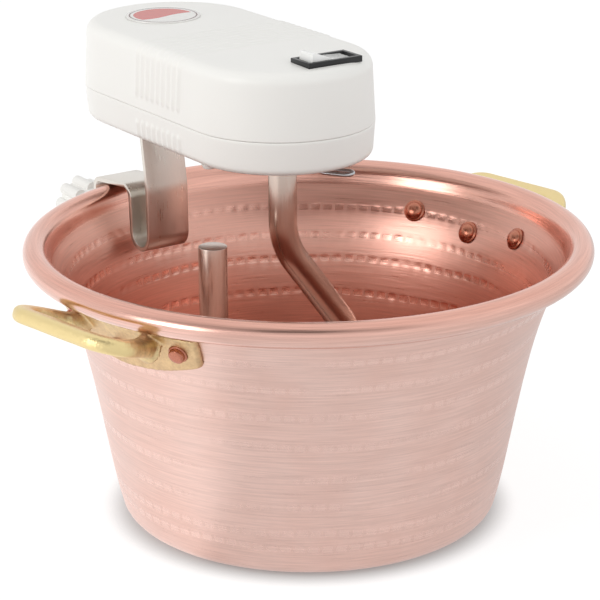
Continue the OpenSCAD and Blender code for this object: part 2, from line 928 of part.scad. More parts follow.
module motor_bolts() {
    color("#8E9194")
        translate([0, unit_y, 0])
            at_places(motor_bolt_places) {
                translate([0, 0, gear_plate_z])
                    pan_screw(4, 7, 2.2, stack_t + plate_thick + bridge_t + 3);
                translate([0, 0, stack_top + bridge_t])
                    hex_nut(7, 2.6, 4);
            }
}

module rotor_core() {
    color("#8A8D90")
        translate([motor_x, unit_y, stack_z + 1])
            difference() {
                cylinder(h = stack_t - 2, d = rotor_d, $fn = 64);
                translate([0, 0, -1])
                    cylinder(h = stack_t, d = motor_shaft_d, $fn = 48);
            }
}

module rotor_shaft() {
    color("#C9CBCC")
        translate([motor_x, unit_y, 0]) {
            translate([0, 0, counter_z - 1])
                cylinder(h = stack_top + bridge_t + 1 - counter_z + 1, d = motor_shaft_d, $fn = 48);
            translate([0, 0, counter_z - 1])
                linear_extrude(counter_h + 2)
                    gear_plan(motor_teeth, 180 / motor_teeth);
        }
}

// Stirrer
module stirrer() {
    far_y = unit_y + stirrer_r;
    near_y = unit_y - stirrer_r;
    color("#B4AFAA")
        difference() {
            union() {
                rotate([90, 0, 90])
                    swept([[unit_y, stirrer_top], [unit_y, bend_out_z], [far_y, bend_down_z],
                           [far_y, run_z], [near_y, run_z], [near_y, free_end_z - end_chamfer]],
                          [0, bend_r, bend_r, bend_r, bend_r, 0])
                        circle(d = bar_d, $fn = 48);
                translate([0, near_y, free_end_z - end_chamfer])
                    cylinder(h = end_chamfer, d1 = bar_d, d2 = bar_d - 2 * end_chamfer, $fn = 64);
            }
            translate([0, unit_y, spindle_low - 2])
                cylinder(h = 60, d = spindle_d + 2 * running_gap, $fn = 64);
            translate([0, unit_y, 0])
                hitch_hole();
        }
}

module hitch_pin() {
    color("#C4C6C8")
        translate([0, unit_y, hitch_z])
            rotate([0, 0, hitch_turn])
                swept(hitch_line, hitch_bends)
                    circle(d = hitch_d, $fn = 32);
}

// Clamp
module clamp_bracket() {
    color("#B4B2AE")
        translate([0, strip_y, 0])
            difference() {
                rotate([90, 0, 0])
                    linear_extrude(strip_w, center = true)
                        polygon(concat(moved(strip_path, strip_t / 2),
                                       [for (i = [len(strip_path) - 1 : -1 : 0])
                                           moved(strip_path, -strip_t / 2)[i]]));
                for (p = bracket_screw_places)
                    translate([p[0], 0, shell_bottom])
                        cylinder(h = 20, d = bracket_screw_d + 0.4, center = true, $fn = 48);
                translate([outer_leg_x, 0, clamp_z])
                    rotate([0, 90, 0])
                        cylinder(h = 10, d = clamp_d + 2 * running_gap, center = true, $fn = 48);
            }
}

module bracket_screws() {
    color("#8E9194")
        translate([0, unit_y, 0])
            at_places(bracket_screw_places) {
                translate([0, 0, shell_bottom - strip_t])
                    pan_screw(bracket_screw_d, 9, 2.8, 14.5);
                translate([0, 0, chassis_top])
                    hex_nut(8, 3.4, bracket_screw_d);
            }
}

module clamp_nut() {
    color("#A9ACAE")
        translate([outer_leg_x - strip_t / 2, strip_y, clamp_z])
            rotate([0, -90, 0])
                hex_nut(10, 5, clamp_d + 2 * running_gap);
}

module clamp_screw() {
    color("#B4B6B8")
        translate([0, strip_y, clamp_z])
            rotate([0, -90, 0])
                translate([0, 0, -pad_x + 2.1])
                    cylinder(h = pad_x - 2.1 - (knob_x + 4), d = clamp_d, $fn = 48);
}

module clamp_knob() {
    color("#EFEDE6")
        translate([knob_x, strip_y, clamp_z])
            rotate([0, 90, 0])
                difference() {
                    union() {
                        cylinder(h = knob_l, d = 21, $fn = 64);
                        for (a = [0 : 45 : 315])
                            rotate(a)
                                translate([10.5, 0, 0])
                                    cylinder(h = knob_l - 5, d = 6.4, $fn = 32);
                    }
                    translate([0, 0, 4])
                        cylinder(h = knob_l, d = clamp_d, $fn = 48);
                }
}

module clamp_pad() {
    color("#3A3A3A")
        translate([pad_x, strip_y, clamp_z])
            rotate([0, -90, 0])
                difference() {
                    union() {
                        sphere(r = pad_r, $fn = 64);
                        cylinder(h = pad_l, r = pad_r, $fn = 64);
                    }
                    translate([0, 0, 2])
                        cylinder(h = 10, d = clamp_d + 2 * running_gap, $fn = 48);
                }
}

pot_body();
rim_wire();
handle_left();
handle_right();
rivets_left();
rivets_right();
upper_shell();
lower_shell();
shell_screws();
badge();
switch_body();
switch_rocker();
chassis_plate();
gear_plate();
plate_posts();
chassis_screws();
counter_shaft();
counter_gear();
output_gear();
drive_spindle();
spindle_bushes();
motor_stack();
motor_bobbin();
motor_winding();
motor_bridge();
motor_bolts();
rotor_core();
rotor_shaft();
stirrer();
hitch_pin();
clamp_bracket();
bracket_screws();
clamp_nut();
clamp_screw();
clamp_knob();
clamp_pad();
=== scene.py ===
"""Looks of a hammered copper polenta pot with an electric stirring unit clamped on its rim.

The file is laid out as an add-on: property groups hold the sizes and colours, one operator makes each
group of pieces, and a panel lists the operators. Every length is in metres unless a name ends in _mm.
"""

import math
import random

import bpy
import numpy as np
from bpy.props import FloatProperty, FloatVectorProperty, IntProperty, PointerProperty
from mathutils import Matrix, Vector, kdtree, noise


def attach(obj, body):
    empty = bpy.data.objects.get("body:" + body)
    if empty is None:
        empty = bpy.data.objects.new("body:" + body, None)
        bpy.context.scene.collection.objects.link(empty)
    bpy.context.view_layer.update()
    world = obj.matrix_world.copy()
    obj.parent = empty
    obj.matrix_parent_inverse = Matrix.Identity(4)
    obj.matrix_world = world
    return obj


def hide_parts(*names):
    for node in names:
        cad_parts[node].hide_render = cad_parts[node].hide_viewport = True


bl_info = {
    "name": "Copper polenta pot",
    "version": (1, 0, 0),
    "blender": (4, 5, 0),
    "location": "3D View > Sidebar > Polenta pot",
    "description": "Dresses the polenta pot and its stirring unit with shapes and finishes",
    "category": "Object",
}

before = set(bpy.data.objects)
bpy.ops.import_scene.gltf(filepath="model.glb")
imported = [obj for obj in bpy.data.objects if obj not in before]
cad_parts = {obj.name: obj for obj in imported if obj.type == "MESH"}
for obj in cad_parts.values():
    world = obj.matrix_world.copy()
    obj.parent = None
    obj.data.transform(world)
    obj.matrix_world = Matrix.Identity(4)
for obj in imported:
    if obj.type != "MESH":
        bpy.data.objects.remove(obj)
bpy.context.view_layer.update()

MM = 0.001
BODY = "pot_and_unit"

# Switch and badge are placed in x, and in y from the housing's own plane
SWITCH_X, SWITCH_Y = 26.6 * MM, 7.4 * MM
BADGE_X, BADGE_Y = -102 * MM, -4 * MM


def linear(code):
    """Linear red, green, blue of an sRGB hex colour."""
    parts = [int(code[i:i + 2], 16) / 255 for i in (1, 3, 5)]
    return tuple(c / 12.92 if c <= 0.04045 else ((c + 0.055) / 1.055) ** 2.4 for c in parts)


def length(name, description, default_mm, low_mm=0.1, high_mm=400.0):
    """A length property, given in millimetres."""
    return FloatProperty(name=name, description=description, default=default_mm * MM,
                         min=low_mm * MM, max=high_mm * MM, unit="LENGTH", precision=4)


def colour(name, description, code):
    """A colour property, given as an sRGB hex value."""
    return FloatVectorProperty(name=name, description=description, default=linear(code), min=0.0,
                               max=1.0, size=3, subtype="COLOR")


class PotSizes(bpy.types.PropertyGroup):
    """Sizes of the copper pot and of the hammer's marks on it."""

    bead_ring: length("Bead ring", "Radius of the ring on which the rolled rim's middle lies", 134.0)
    rim_height: length("Rim height", "Height of the middle of the rolled rim", 136.3)
    bead: length("Bead", "Radius of the rolled rim's section", 6.0)
    wall: length("Wall", "Thickness of the copper wall", 1.6)
    floor: length("Floor", "Thickness of the copper floor", 2.0)
    foot: length("Foot", "Radius of the flat part of the underside", 86.0)
    foot_corner: length("Foot corner", "Radius between underside and wall", 9.0)
    wall_lean: FloatProperty(name="Wall lean", description="Lean of the wall above the foot",
                             default=math.radians(16), subtype="ANGLE")
    flare_lean: FloatProperty(name="Flare lean", description="Lean of the flare below the rim",
                              default=math.radians(48), subtype="ANGLE")
    dent_pitch: length("Mark pitch", "Distance between neighbouring hammer marks", 6.6)
    dent_half_width: length("Mark half width", "Half of a hammer mark, along its row", 3.1)
    dent_half_height: length("Mark half height", "Half of a hammer mark, across its row", 2.15)
    dent_depth: length("Mark depth", "Depth of a hammer mark on the outside", 0.07, 0.0, 1.0)
    dent_depth_inside: length("Mark depth inside", "Depth of a hammer mark on the inside", 0.2, 0.0,
                              1.0)
    turns: IntProperty(name="Turns", description="Steps of the lathe round the pot", default=540, min=90,
                       max=540)


class HousingSizes(bpy.types.PropertyGroup):
    """Sizes of the moulded motor housing."""

    axis_y: FloatProperty(name="Axis", description="Distance of the housing's plane from the pot's axis",
                          default=-15 * MM, unit="LENGTH")
    nose_x: FloatProperty(name="Nose", description="Centre of the round free end", default=-2 * MM,
                          unit="LENGTH")
    tail_x: FloatProperty(name="Tail", description="Centre of the round end at the clamp",
                          default=-98 * MM, unit="LENGTH")
    half_width: length("Half width", "Half of the width at the parting line", 46.0)
    bottom: length("Bottom", "Height of the underside", 185.0)
    split: length("Parting line", "Height of the parting line", 201.6)
    top: length("Top", "Height of the top", 234.6)
    top_round: length("Upper rounding", "Radius of the upper edge", 6.0)
    bottom_round: length("Lower rounding", "Radius of the lower edge", 3.5)
    crown: length("Crown", "How far the top rises towards its middle", 0.7)
    rib_first_x: FloatProperty(name="First rib", description="Place of the first rib",
                               default=-59.5 * MM, unit="LENGTH")
    rib_pitch: length("Rib pitch", "Distance between ribs", 4.8)
    rib_height: length("Rib height", "Height of a rib on the sides", 0.9)
    rib_count: IntProperty(name="Ribs", description="Number of ribs across the housing", default=9,
                           min=1, max=9)


class Finishes(bpy.types.PropertyGroup):
    """Colours of the materials."""

    copper: colour("Copper", "Brushed copper of the pot's outside", "#EACAC0")
    copper_inside: colour("Copper inside", "Polished copper of the pot's inside", "#E4AF9F")
    copper_rivet: colour("Rivet copper", "Polished copper of the rivets", "#BE7C66")
    brass: colour("Brass", "Dull cast brass", "#E9D3A0")
    brass_grip: colour("Rubbed brass", "Brass where the hand rubs it", "#EAD49C")
    steel: colour("Steel", "Stainless steel of bar and strip", "#DDD7CF")
    # the bar's pink tint is a painted reflection of the copper round it, not a stain
    bar: colour("Bar", "Stainless steel of the stirrer, stained by use", "#CBB9AE")
    zinc: colour("Zinc", "Zinc plated steel", "#B9BBBD")
    plastic: colour("White plastic", "Moulded housing", "#F5F4F0")
    black: colour("Black plastic", "Switch frame and bobbin", "#151517")
    red: colour("Badge field", "Printed field of the badge", "#C9463C")


def props():
    """The add-on's property groups in the scene."""
    scene = bpy.context.scene
    return scene.polenta_pot_sizes, scene.polenta_housing_sizes, scene.polenta_finishes


# Work on meshes

def clear_selection():
    """Leaves edit mode and selects nothing."""
    if bpy.context.object and bpy.context.object.mode != "OBJECT":
        bpy.ops.object.mode_set(mode="OBJECT")
    bpy.ops.object.select_all(action="DESELECT")


def activate(piece):
    """Makes one object the only selected and active one."""
    clear_selection()
    piece.select_set(True)
    bpy.context.view_layer.objects.active = piece


def new_piece(name, verts, edges, faces):
    """An object with the given mesh, at the origin, selected and active."""
    mesh = bpy.data.meshes.new(name)
    mesh.from_pydata(verts, edges, faces)
    piece = bpy.data.objects.new(name, mesh)
    bpy.context.collection.objects.link(piece)
    activate(piece)
    return piece


def tidy_mesh(piece, merge_mm=0.005, outwards=True):
    """Merges doubles and, if asked, points the faces outwards."""
    activate(piece)
    bpy.ops.object.mode_set(mode="EDIT")
    bpy.ops.mesh.select_all(action="SELECT")
    bpy.ops.mesh.remove_doubles(threshold=merge_mm * MM)
    if outwards:
        bpy.ops.mesh.normals_make_consistent(inside=False)
    bpy.ops.object.mode_set(mode="OBJECT")


def lathe(name, outline, steps):
    """A turned piece: an outline of (radius, height) pairs spun about Z."""
    piece = new_piece(name, [(r, 0.0, z) for r, z in outline],
                      [(i, i + 1) for i in range(len(outline) - 1)], [])
    modify(piece, "SCREW", axis="Z", angle=2 * math.pi, steps=steps, render_steps=steps,
           use_merge_vertices=True, merge_threshold=0.002 * MM)
    tidy_mesh(piece)
    return piece


def modify(piece, kind, **settings):
    """Adds one modifier and applies it."""
    activate(piece)
    modifier = piece.modifiers.new(kind.title(), kind)
    for name, value in settings.items():
        setattr(modifier, name, value)
    bpy.ops.object.modifier_apply(modifier=modifier.name)


def join(pieces):
    """Joins pieces into the first of them."""
    activate(pieces[0])
    for piece in pieces:
        piece.select_set(True)
    bpy.ops.object.join()
    return pieces[0]


def smooth(piece, degrees=35):
    """Smooth shading that keeps edges sharper than the angle."""
    activate(piece)
    bpy.ops.object.shade_smooth_by_angle(angle=math.radians(degrees))


def settle(piece, material, body, slot, *nodes):
    """Gives a finished piece its material, its body and the CAD nodes that it stands for."""
    if material:
        piece.data.materials.clear()
        piece.data.materials.append(material)
    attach(piece, body)
    if nodes:
        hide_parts(*nodes)
    clear_selection()


def copy_of(node, name, join_flats=True):
    """A merged copy of a CAD node's mesh, with its flat faces joined if asked."""
    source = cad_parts[node]
    piece = bpy.data.objects.new(name, source.data.copy())
    bpy.context.collection.objects.link(piece)
    piece.data.materials.clear()
    tidy_mesh(piece, 0.004, outwards=False)
    if join_flats:
        bpy.ops.object.mode_set(mode="EDIT")
        bpy.ops.mesh.select_all(action="SELECT")
        bpy.ops.mesh.dissolve_limited(angle_limit=math.radians(0.6))
        bpy.ops.object.mode_set(mode="OBJECT")
    return piece


def dress(node, name, material, body, slot, edge_mm=0.35, angle=38, segments=2):
    """A copy of a CAD node with rounded edges, which stands for the node."""
    piece = copy_of(node, name)
    if edge_mm:
        modify(piece, "BEVEL", width=edge_mm * MM, segments=segments, limit_method="ANGLE",
               angle_limit=math.radians(angle), use_clamp_overlap=True, miter_outer="MITER_ARC")
    smooth(piece, 40)
    settle(piece, material, body, slot, node)
    return piece


def repaint(node, material):
    """Gives a CAD node that keeps its shape a better material."""
    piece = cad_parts[node]
    if not piece.material_slots:
        piece.data.materials.append(material)
    for slot in piece.material_slots:
        slot.material = material


def cut(piece, cutter):
    """Takes a cutter's volume away from a piece and deletes the cutter."""
    modify(piece, "BOOLEAN", operation="DIFFERENCE", object=cutter, solver="EXACT")
    bpy.data.objects.remove(cutter, do_unlink=True)


def block(name, low, high):
    """A plain block between two corners, for cutting with."""
    clear_selection()
    middle = [(a + b) / 2 for a, b in zip(low, high)]
    span = [b - a for a, b in zip(low, high)]
    bpy.ops.mesh.primitive_cube_add(size=1, location=middle, scale=span)
    bpy.ops.object.transform_apply(location=True, rotation=True, scale=True)
    bpy.context.object.name = name
    return bpy.context.object


def rod(name, radius, low, high, x, y, vertices=48):
    """A plain upright rod, for cutting with."""
    clear_selection()
    bpy.ops.mesh.primitive_cylinder_add(vertices=vertices, radius=radius, depth=high - low,
                                        location=(x, y, (low + high) / 2))
    bpy.ops.object.transform_apply(location=True, rotation=True, scale=True)
    bpy.context.object.name = name
    return bpy.context.object


# Work on materials

def add(tree, kind, inputs=None, **settings):
    """Adds one shader node with its settings, and fills or links its sockets."""
    made = tree.nodes.new("ShaderNode" + kind)
    for name, value in settings.items():
        setattr(made, name, value)
    for name, value in (inputs or {}).items():
        if isinstance(value, bpy.types.NodeSocket):
            tree.links.new(value, made.inputs[name])
        elif made.inputs[name].type == "RGBA":
            made.inputs[name].default_value = (*value[:3], 1.0)
        else:
            made.inputs[name].default_value = value
    return made


def new_material(name):
    """An empty node material and its tree."""
    material = bpy.data.materials.new(name)
    material.use_nodes = True
    material.node_tree.nodes.clear()
    return material, material.node_tree


def surface(tree, shader):
    """Links a shader to the material's output."""
    add(tree, "OutputMaterial", {"Surface": shader.outputs[0]})


def shaded(code, factor):
    """A linear colour made lighter or darker."""
    return tuple(min(1.0, c * factor) for c in code)


def hammered_copper(finishes, sizes):
    """Copper sheet, brushed on the lathe, with rows of flat hammer marks and a polished rim.

    The brushing runs round the pot, so highlights stretch up and down; the marks are a little smoother
    than the ground between them, so they show most where a highlight ends, and their colour is painted a
    little lighter, a painted highlight."""
    material, tree = new_material("brushed and hammered copper")
    where = add(tree, "TexCoord")
    axes = add(tree, "SeparateXYZ", {"Vector": where.outputs["Object"]})
    along = add(tree, "Attribute", attribute_name="along")
    rim = add(tree, "Attribute", attribute_name="rim")
    inside = add(tree, "Attribute", attribute_name="inside")
    row_s = add(tree, "Attribute", attribute_name="row_distance")
    row_n = add(tree, "Attribute", attribute_name="row_count")
    flat = add(tree, "VectorMath", {0: where.outputs["Object"], 1: (1, 1, 0)}, operation="MULTIPLY")
    round_pot = add(tree, "VectorMath", {0: flat.outputs[0]}, operation="NORMALIZE")
    turn = add(tree, "SeparateXYZ", {"Vector": round_pot.outputs[0]})
    # brush lines 35 mm long, from 0.5 to 1.5 mm apart: coarser than the real ones so that they show
    line_x = add(tree, "Math", {0: turn.outputs[0], 1: 3.8}, operation="MULTIPLY")
    line_y = add(tree, "Math", {0: turn.outputs[1], 1: 3.8}, operation="MULTIPLY")
    line_z = add(tree, "Math", {0: along.outputs["Fac"], 1: 1.15}, operation="MULTIPLY")
    line = add(tree, "CombineXYZ", {0: line_x.outputs[0], 1: line_y.outputs[0], 2: line_z.outputs[0]})
    brush = add(tree, "TexNoise", {"Vector": line.outputs[0], "Scale": 1.0, "Detail": 4.0,
                                   "Roughness": 0.6})
    # soft clouds of 30 mm from uneven polishing
    cloud = add(tree, "TexNoise", {"Vector": where.outputs["Object"], "Scale": 30.0, "Detail": 2.0})
    angle = add(tree, "Math", {0: axes.outputs[1], 1: axes.outputs[0]}, operation="ARCTAN2")
    turns = add(tree, "Math", {0: angle.outputs[0], 1: 2 * math.pi}, operation="DIVIDE")
    count = add(tree, "Math", {0: turns.outputs[0], 1: row_n.outputs["Fac"]}, operation="MULTIPLY")
    part = add(tree, "Math", {0: count.outputs[0]}, operation="FRACT")
    side = add(tree, "Math", {0: part.outputs[0], 1: 0.5}, operation="SUBTRACT")
    side = add(tree, "Math", {0: side.outputs[0]}, operation="ABSOLUTE")
    wide = sizes.dent_half_width / sizes.dent_pitch
    width = add(tree, "MapRange", {"Value": side.outputs[0], "From Min": wide, "From Max": wide * 0.6},
                interpolation_type="SMOOTHSTEP")
    high = sizes.dent_half_height / MM
    height = add(tree, "MapRange", {"Value": row_s.outputs["Fac"], "From Min": high,
                                    "From Max": high * 0.55}, interpolation_type="SMOOTHSTEP")
    mark = add(tree, "Math", {0: width.outputs[0], 1: height.outputs[0]}, operation="MULTIPLY")
    fainter = add(tree, "MapRange", {"Value": cloud.outputs["Fac"], "From Min": 0.38,
                                     "From Max": 0.62, "To Min": 0.1})
    mark = add(tree, "Math", {0: mark.outputs[0], 1: fainter.outputs[0]}, operation="MULTIPLY")
    tone = add(tree, "MapRange", {"Value": brush.outputs["Fac"], "From Min": 0.3, "From Max": 0.7})
    dark = add(tree, "Mix", {0: inside.outputs["Fac"], 6: shaded(finishes.copper, 0.85),
                             7: shaded(finishes.copper_inside, 0.84)}, data_type="RGBA")
    light = add(tree, "Mix", {0: inside.outputs["Fac"], 6: shaded(finishes.copper, 1.08),
                              7: shaded(finishes.copper_inside, 1.08)}, data_type="RGBA")
    warm = add(tree, "Mix", {0: tone.outputs[0], 6: dark.outputs[2], 7: light.outputs[2]},
               data_type="RGBA")
    patch = add(tree, "MapRange", {"Value": cloud.outputs["Fac"], "From Min": 0.35, "From Max": 0.7,
                                   "To Max": 0.3})
    mellow = add(tree, "Mix", {0: patch.outputs[0], 6: warm.outputs[2], 7: linear("#DCAE9F")},
                 data_type="RGBA")
    # painted highlight: the marks' colour is made a little lighter than the ground round them
    painted_mark_highlight = add(tree, "Math", {0: mark.outputs[0], 1: 0.32}, operation="MULTIPLY")
    bright = add(tree, "Mix", {0: painted_mark_highlight.outputs[0], 6: mellow.outputs[2], 7: light.outputs[2]},
                 data_type="RGBA")
    ground = add(tree, "MapRange", {"Value": brush.outputs["Fac"], "From Min": 0.3, "From Max": 0.7,
                                    "To Min": 0.27, "To Max": 0.38})
    rough = add(tree, "Mix", {0: mark.outputs[0], 2: ground.outputs[0], 3: 0.22}, data_type="FLOAT")
    rough = add(tree, "Mix", {0: rim.outputs["Fac"], 2: rough.outputs[0], 3: 0.17}, data_type="FLOAT")
    dip = add(tree, "Math", {0: mark.outputs[0], 1: -0.5, 2: brush.outputs["Fac"]},
              operation="MULTIPLY_ADD")
    bump = add(tree, "Bump", {"Height": dip.outputs[0], "Strength": 0.16, "Distance": 0.0004})
    tangent = add(tree, "Tangent", direction_type="RADIAL", axis="Z")
    metal = add(tree, "BsdfPrincipled", {"Base Color": bright.outputs[2], "Metallic": 1.0,
                                         "Roughness": rough.outputs[0], "Anisotropic": 0.5,
                                         "Normal": bump.outputs[0], "Tangent": tangent.outputs[0]})
    surface(tree, metal)
    return material


def rivet_copper(finishes):
    """Copper rivets, headed cold and wiped: darker than the sheet, with small scuffs."""
    material, tree = new_material("cold headed copper")
    where = add(tree, "TexCoord")
    scuff = add(tree, "TexNoise", {"Vector": where.outputs["Object"], "Scale": 700.0, "Detail": 5.0})
    tone = add(tree, "Mix", {0: scuff.outputs["Fac"], 6: shaded(finishes.copper_rivet, 0.8),
                             7: shaded(finishes.copper_rivet, 1.12)}, data_type="RGBA")
    rough = add(tree, "MapRange", {"Value": scuff.outputs["Fac"], "To Min": 0.16, "To Max": 0.36})
    bump = add(tree, "Bump", {"Height": scuff.outputs["Fac"], "Strength": 0.15, "Distance": 0.0003})
    metal = add(tree, "BsdfPrincipled", {"Base Color": tone.outputs[2], "Metallic": 1.0,
                                         "Roughness": rough.outputs[0], "Normal": bump.outputs[0]})
    surface(tree, metal)
    return material


def cast_brass(finishes):
    """Sand cast brass, dull with a 1 mm grain and 3 mm pits, and rubbed bright on the grip."""
    material, tree = new_material("sand cast brass")
    where = add(tree, "TexCoord")
    flat = add(tree, "VectorMath", {0: where.outputs["Object"], 1: (1, 1, 0)}, operation="MULTIPLY")
    reach = add(tree, "VectorMath", {0: flat.outputs[0]}, operation="LENGTH")
    worn = add(tree, "TexNoise", {"Vector": where.outputs["Object"], "Scale": 140.0, "Detail": 3.0})
    shift = add(tree, "Math", {0: worn.outputs["Fac"], 1: 0.014, 2: -0.007}, operation="MULTIPLY_ADD")
    place = add(tree, "Math", {0: reach.outputs["Value"], 1: shift.outputs[0]}, operation="ADD")
    # rubbed bright from 140 mm outwards from the pot's axis; warmer from 138 mm inwards, a painted
    # copper reflection
    grip = add(tree, "MapRange", {"Value": place.outputs[0], "From Min": 0.140, "From Max": 0.156},
               interpolation_type="SMOOTHSTEP")
    copper_reflection_mask = add(tree, "MapRange", {"Value": place.outputs[0], "From Min": 0.138, "From Max": 0.124,
                                  "To Max": 0.45}, interpolation_type="SMOOTHSTEP")
    grain = add(tree, "TexNoise", {"Vector": where.outputs["Object"], "Scale": 900.0, "Detail": 3.0})
    pits = add(tree, "TexNoise", {"Vector": where.outputs["Object"], "Scale": 300.0, "Detail": 5.0,
                                  "Roughness": 0.7})
    speckle = add(tree, "MapRange", {"Value": pits.outputs["Fac"], "From Min": 0.36, "From Max": 0.64})
    dull = add(tree, "Mix", {0: speckle.outputs[0], 6: shaded(finishes.brass, 0.76),
                             7: shaded(finishes.brass, 1.12)}, data_type="RGBA")
    # painted reflection: near the pot the brass takes on the copper wall's colour
    with_painted_copper_reflection = add(tree, "Mix", {0: copper_reflection_mask.outputs[0], 6: dull.outputs[2], 7: linear("#C99B80")},
                 data_type="RGBA")
    tone = add(tree, "Mix", {0: grip.outputs[0], 6: with_painted_copper_reflection.outputs[2], 7: finishes.brass_grip[:]},
               data_type="RGBA")
    base_rough = add(tree, "MapRange", {"Value": pits.outputs["Fac"], "To Min": 0.36, "To Max": 0.52})
    rough = add(tree, "Mix", {0: grip.outputs[0], 2: base_rough.outputs[0], 3: 0.3}, data_type="FLOAT")
    height = add(tree, "Math", {0: grain.outputs["Fac"], 1: pits.outputs["Fac"]}, operation="ADD")
    bump = add(tree, "Bump", {"Height": height.outputs[0], "Strength": 0.45, "Distance": 0.0006})
    metal = add(tree, "BsdfPrincipled", {"Base Color": tone.outputs[2], "Metallic": 1.0,
                                         "Roughness": rough.outputs[0], "Normal": bump.outputs[0]})
    surface(tree, metal)
    return material


def drawn_steel(name, tint, low, high, stretch, grain_mm):
    """Drawn or rolled steel: scratches of the given width run along one axis."""
    material, tree = new_material(name)
    where = add(tree, "TexCoord")
    scaled = add(tree, "VectorMath", {0: where.outputs["Object"], 1: stretch}, operation="MULTIPLY")
    lines = add(tree, "TexNoise", {"Vector": scaled.outputs[0], "Scale": 1 / (grain_mm * MM),
                                   "Detail": 4.0})
    cloud = add(tree, "TexNoise", {"Vector": where.outputs["Object"], "Scale": 60.0, "Detail": 3.0})
    blend = add(tree, "Math", {0: lines.outputs["Fac"], 1: 0.6}, operation="MULTIPLY")
    mixed = add(tree, "Math", {0: cloud.outputs["Fac"], 1: 0.4, 2: blend.outputs[0]},
                operation="MULTIPLY_ADD")
    tone = add(tree, "Mix", {0: mixed.outputs[0], 6: shaded(tint, 0.9), 7: shaded(tint, 1.08)},
               data_type="RGBA")
    rough = add(tree, "MapRange", {"Value": mixed.outputs[0], "From Min": 0.3, "From Max": 0.7,
                                   "To Min": low, "To Max": high})
    bump = add(tree, "Bump", {"Height": lines.outputs["Fac"], "Strength": 0.05, "Distance": 0.0003})
    metal = add(tree, "BsdfPrincipled", {"Base Color": tone.outputs[2], "Metallic": 1.0,
                                         "Roughness": rough.outputs[0], "Normal": bump.outputs[0]})
    surface(tree, metal)
    return material


def moulded(name, tint, rough, grain_mm, depth, variation=0.04):
    """Moulded plastic: nearly even colour, a fine spark-eroded grain and a satin gloss."""
    material, tree = new_material(name)
    where = add(tree, "TexCoord")
    grain = add(tree, "TexNoise", {"Vector": where.outputs["Object"], "Scale": 1 / (grain_mm * MM),
                                   "Detail": 2.0})
    cloud = add(tree, "TexNoise", {"Vector": where.outputs["Object"], "Scale": 22.0, "Detail": 2.0})
    tone = add(tree, "Mix", {0: cloud.outputs["Fac"], 6: shaded(tint, 1 - variation),
                             7: shaded(tint, 1 + variation)}, data_type="RGBA")
    satin = add(tree, "MapRange", {"Value": grain.outputs["Fac"], "From Min": 0.3, "From Max": 0.7,
                                   "To Min": rough - 0.05, "To Max": rough + 0.06})
    bump = add(tree, "Bump", {"Height": grain.outputs["Fac"], "Strength": depth, "Distance": 0.0002})
    plastic = add(tree, "BsdfPrincipled", {"Base Color": tone.outputs[2], "Roughness": satin.outputs[0],
                                           "Normal": bump.outputs[0]})
    surface(tree, plastic)
    return material


def banded(name, dark, light, metallic, rough, axis, pitch_mm):
    """Stacked sheets or wound wire: fine bands square to one axis."""
    material, tree = new_material(name)
    where = add(tree, "TexCoord")
    bands = add(tree, "TexWave", {"Vector": where.outputs["Object"], "Scale": 0.314 / (pitch_mm * MM),
                                  "Distortion": 0.4, "Detail": 1.0}, bands_direction=axis)
    stain = add(tree, "TexNoise", {"Vector": where.outputs["Object"], "Scale": 120.0, "Detail": 3.0})
    mixed = add(tree, "Math", {0: bands.outputs["Fac"], 1: stain.outputs["Fac"]}, operation="MULTIPLY")
    tone = add(tree, "Mix", {0: mixed.outputs[0], 6: dark, 7: light}, data_type="RGBA")
    dull = add(tree, "MapRange", {"Value": stain.outputs["Fac"], "To Min": rough,
                                  "To Max": rough + 0.15})
    bump = add(tree, "Bump", {"Height": bands.outputs["Fac"], "Strength": 0.4, "Distance": 0.0002})
    metal = add(tree, "BsdfPrincipled", {"Base Color": tone.outputs[2], "Metallic": metallic,
                                         "Roughness": dull.outputs[0], "Normal": bump.outputs[0]})
    surface(tree, metal)
    return material


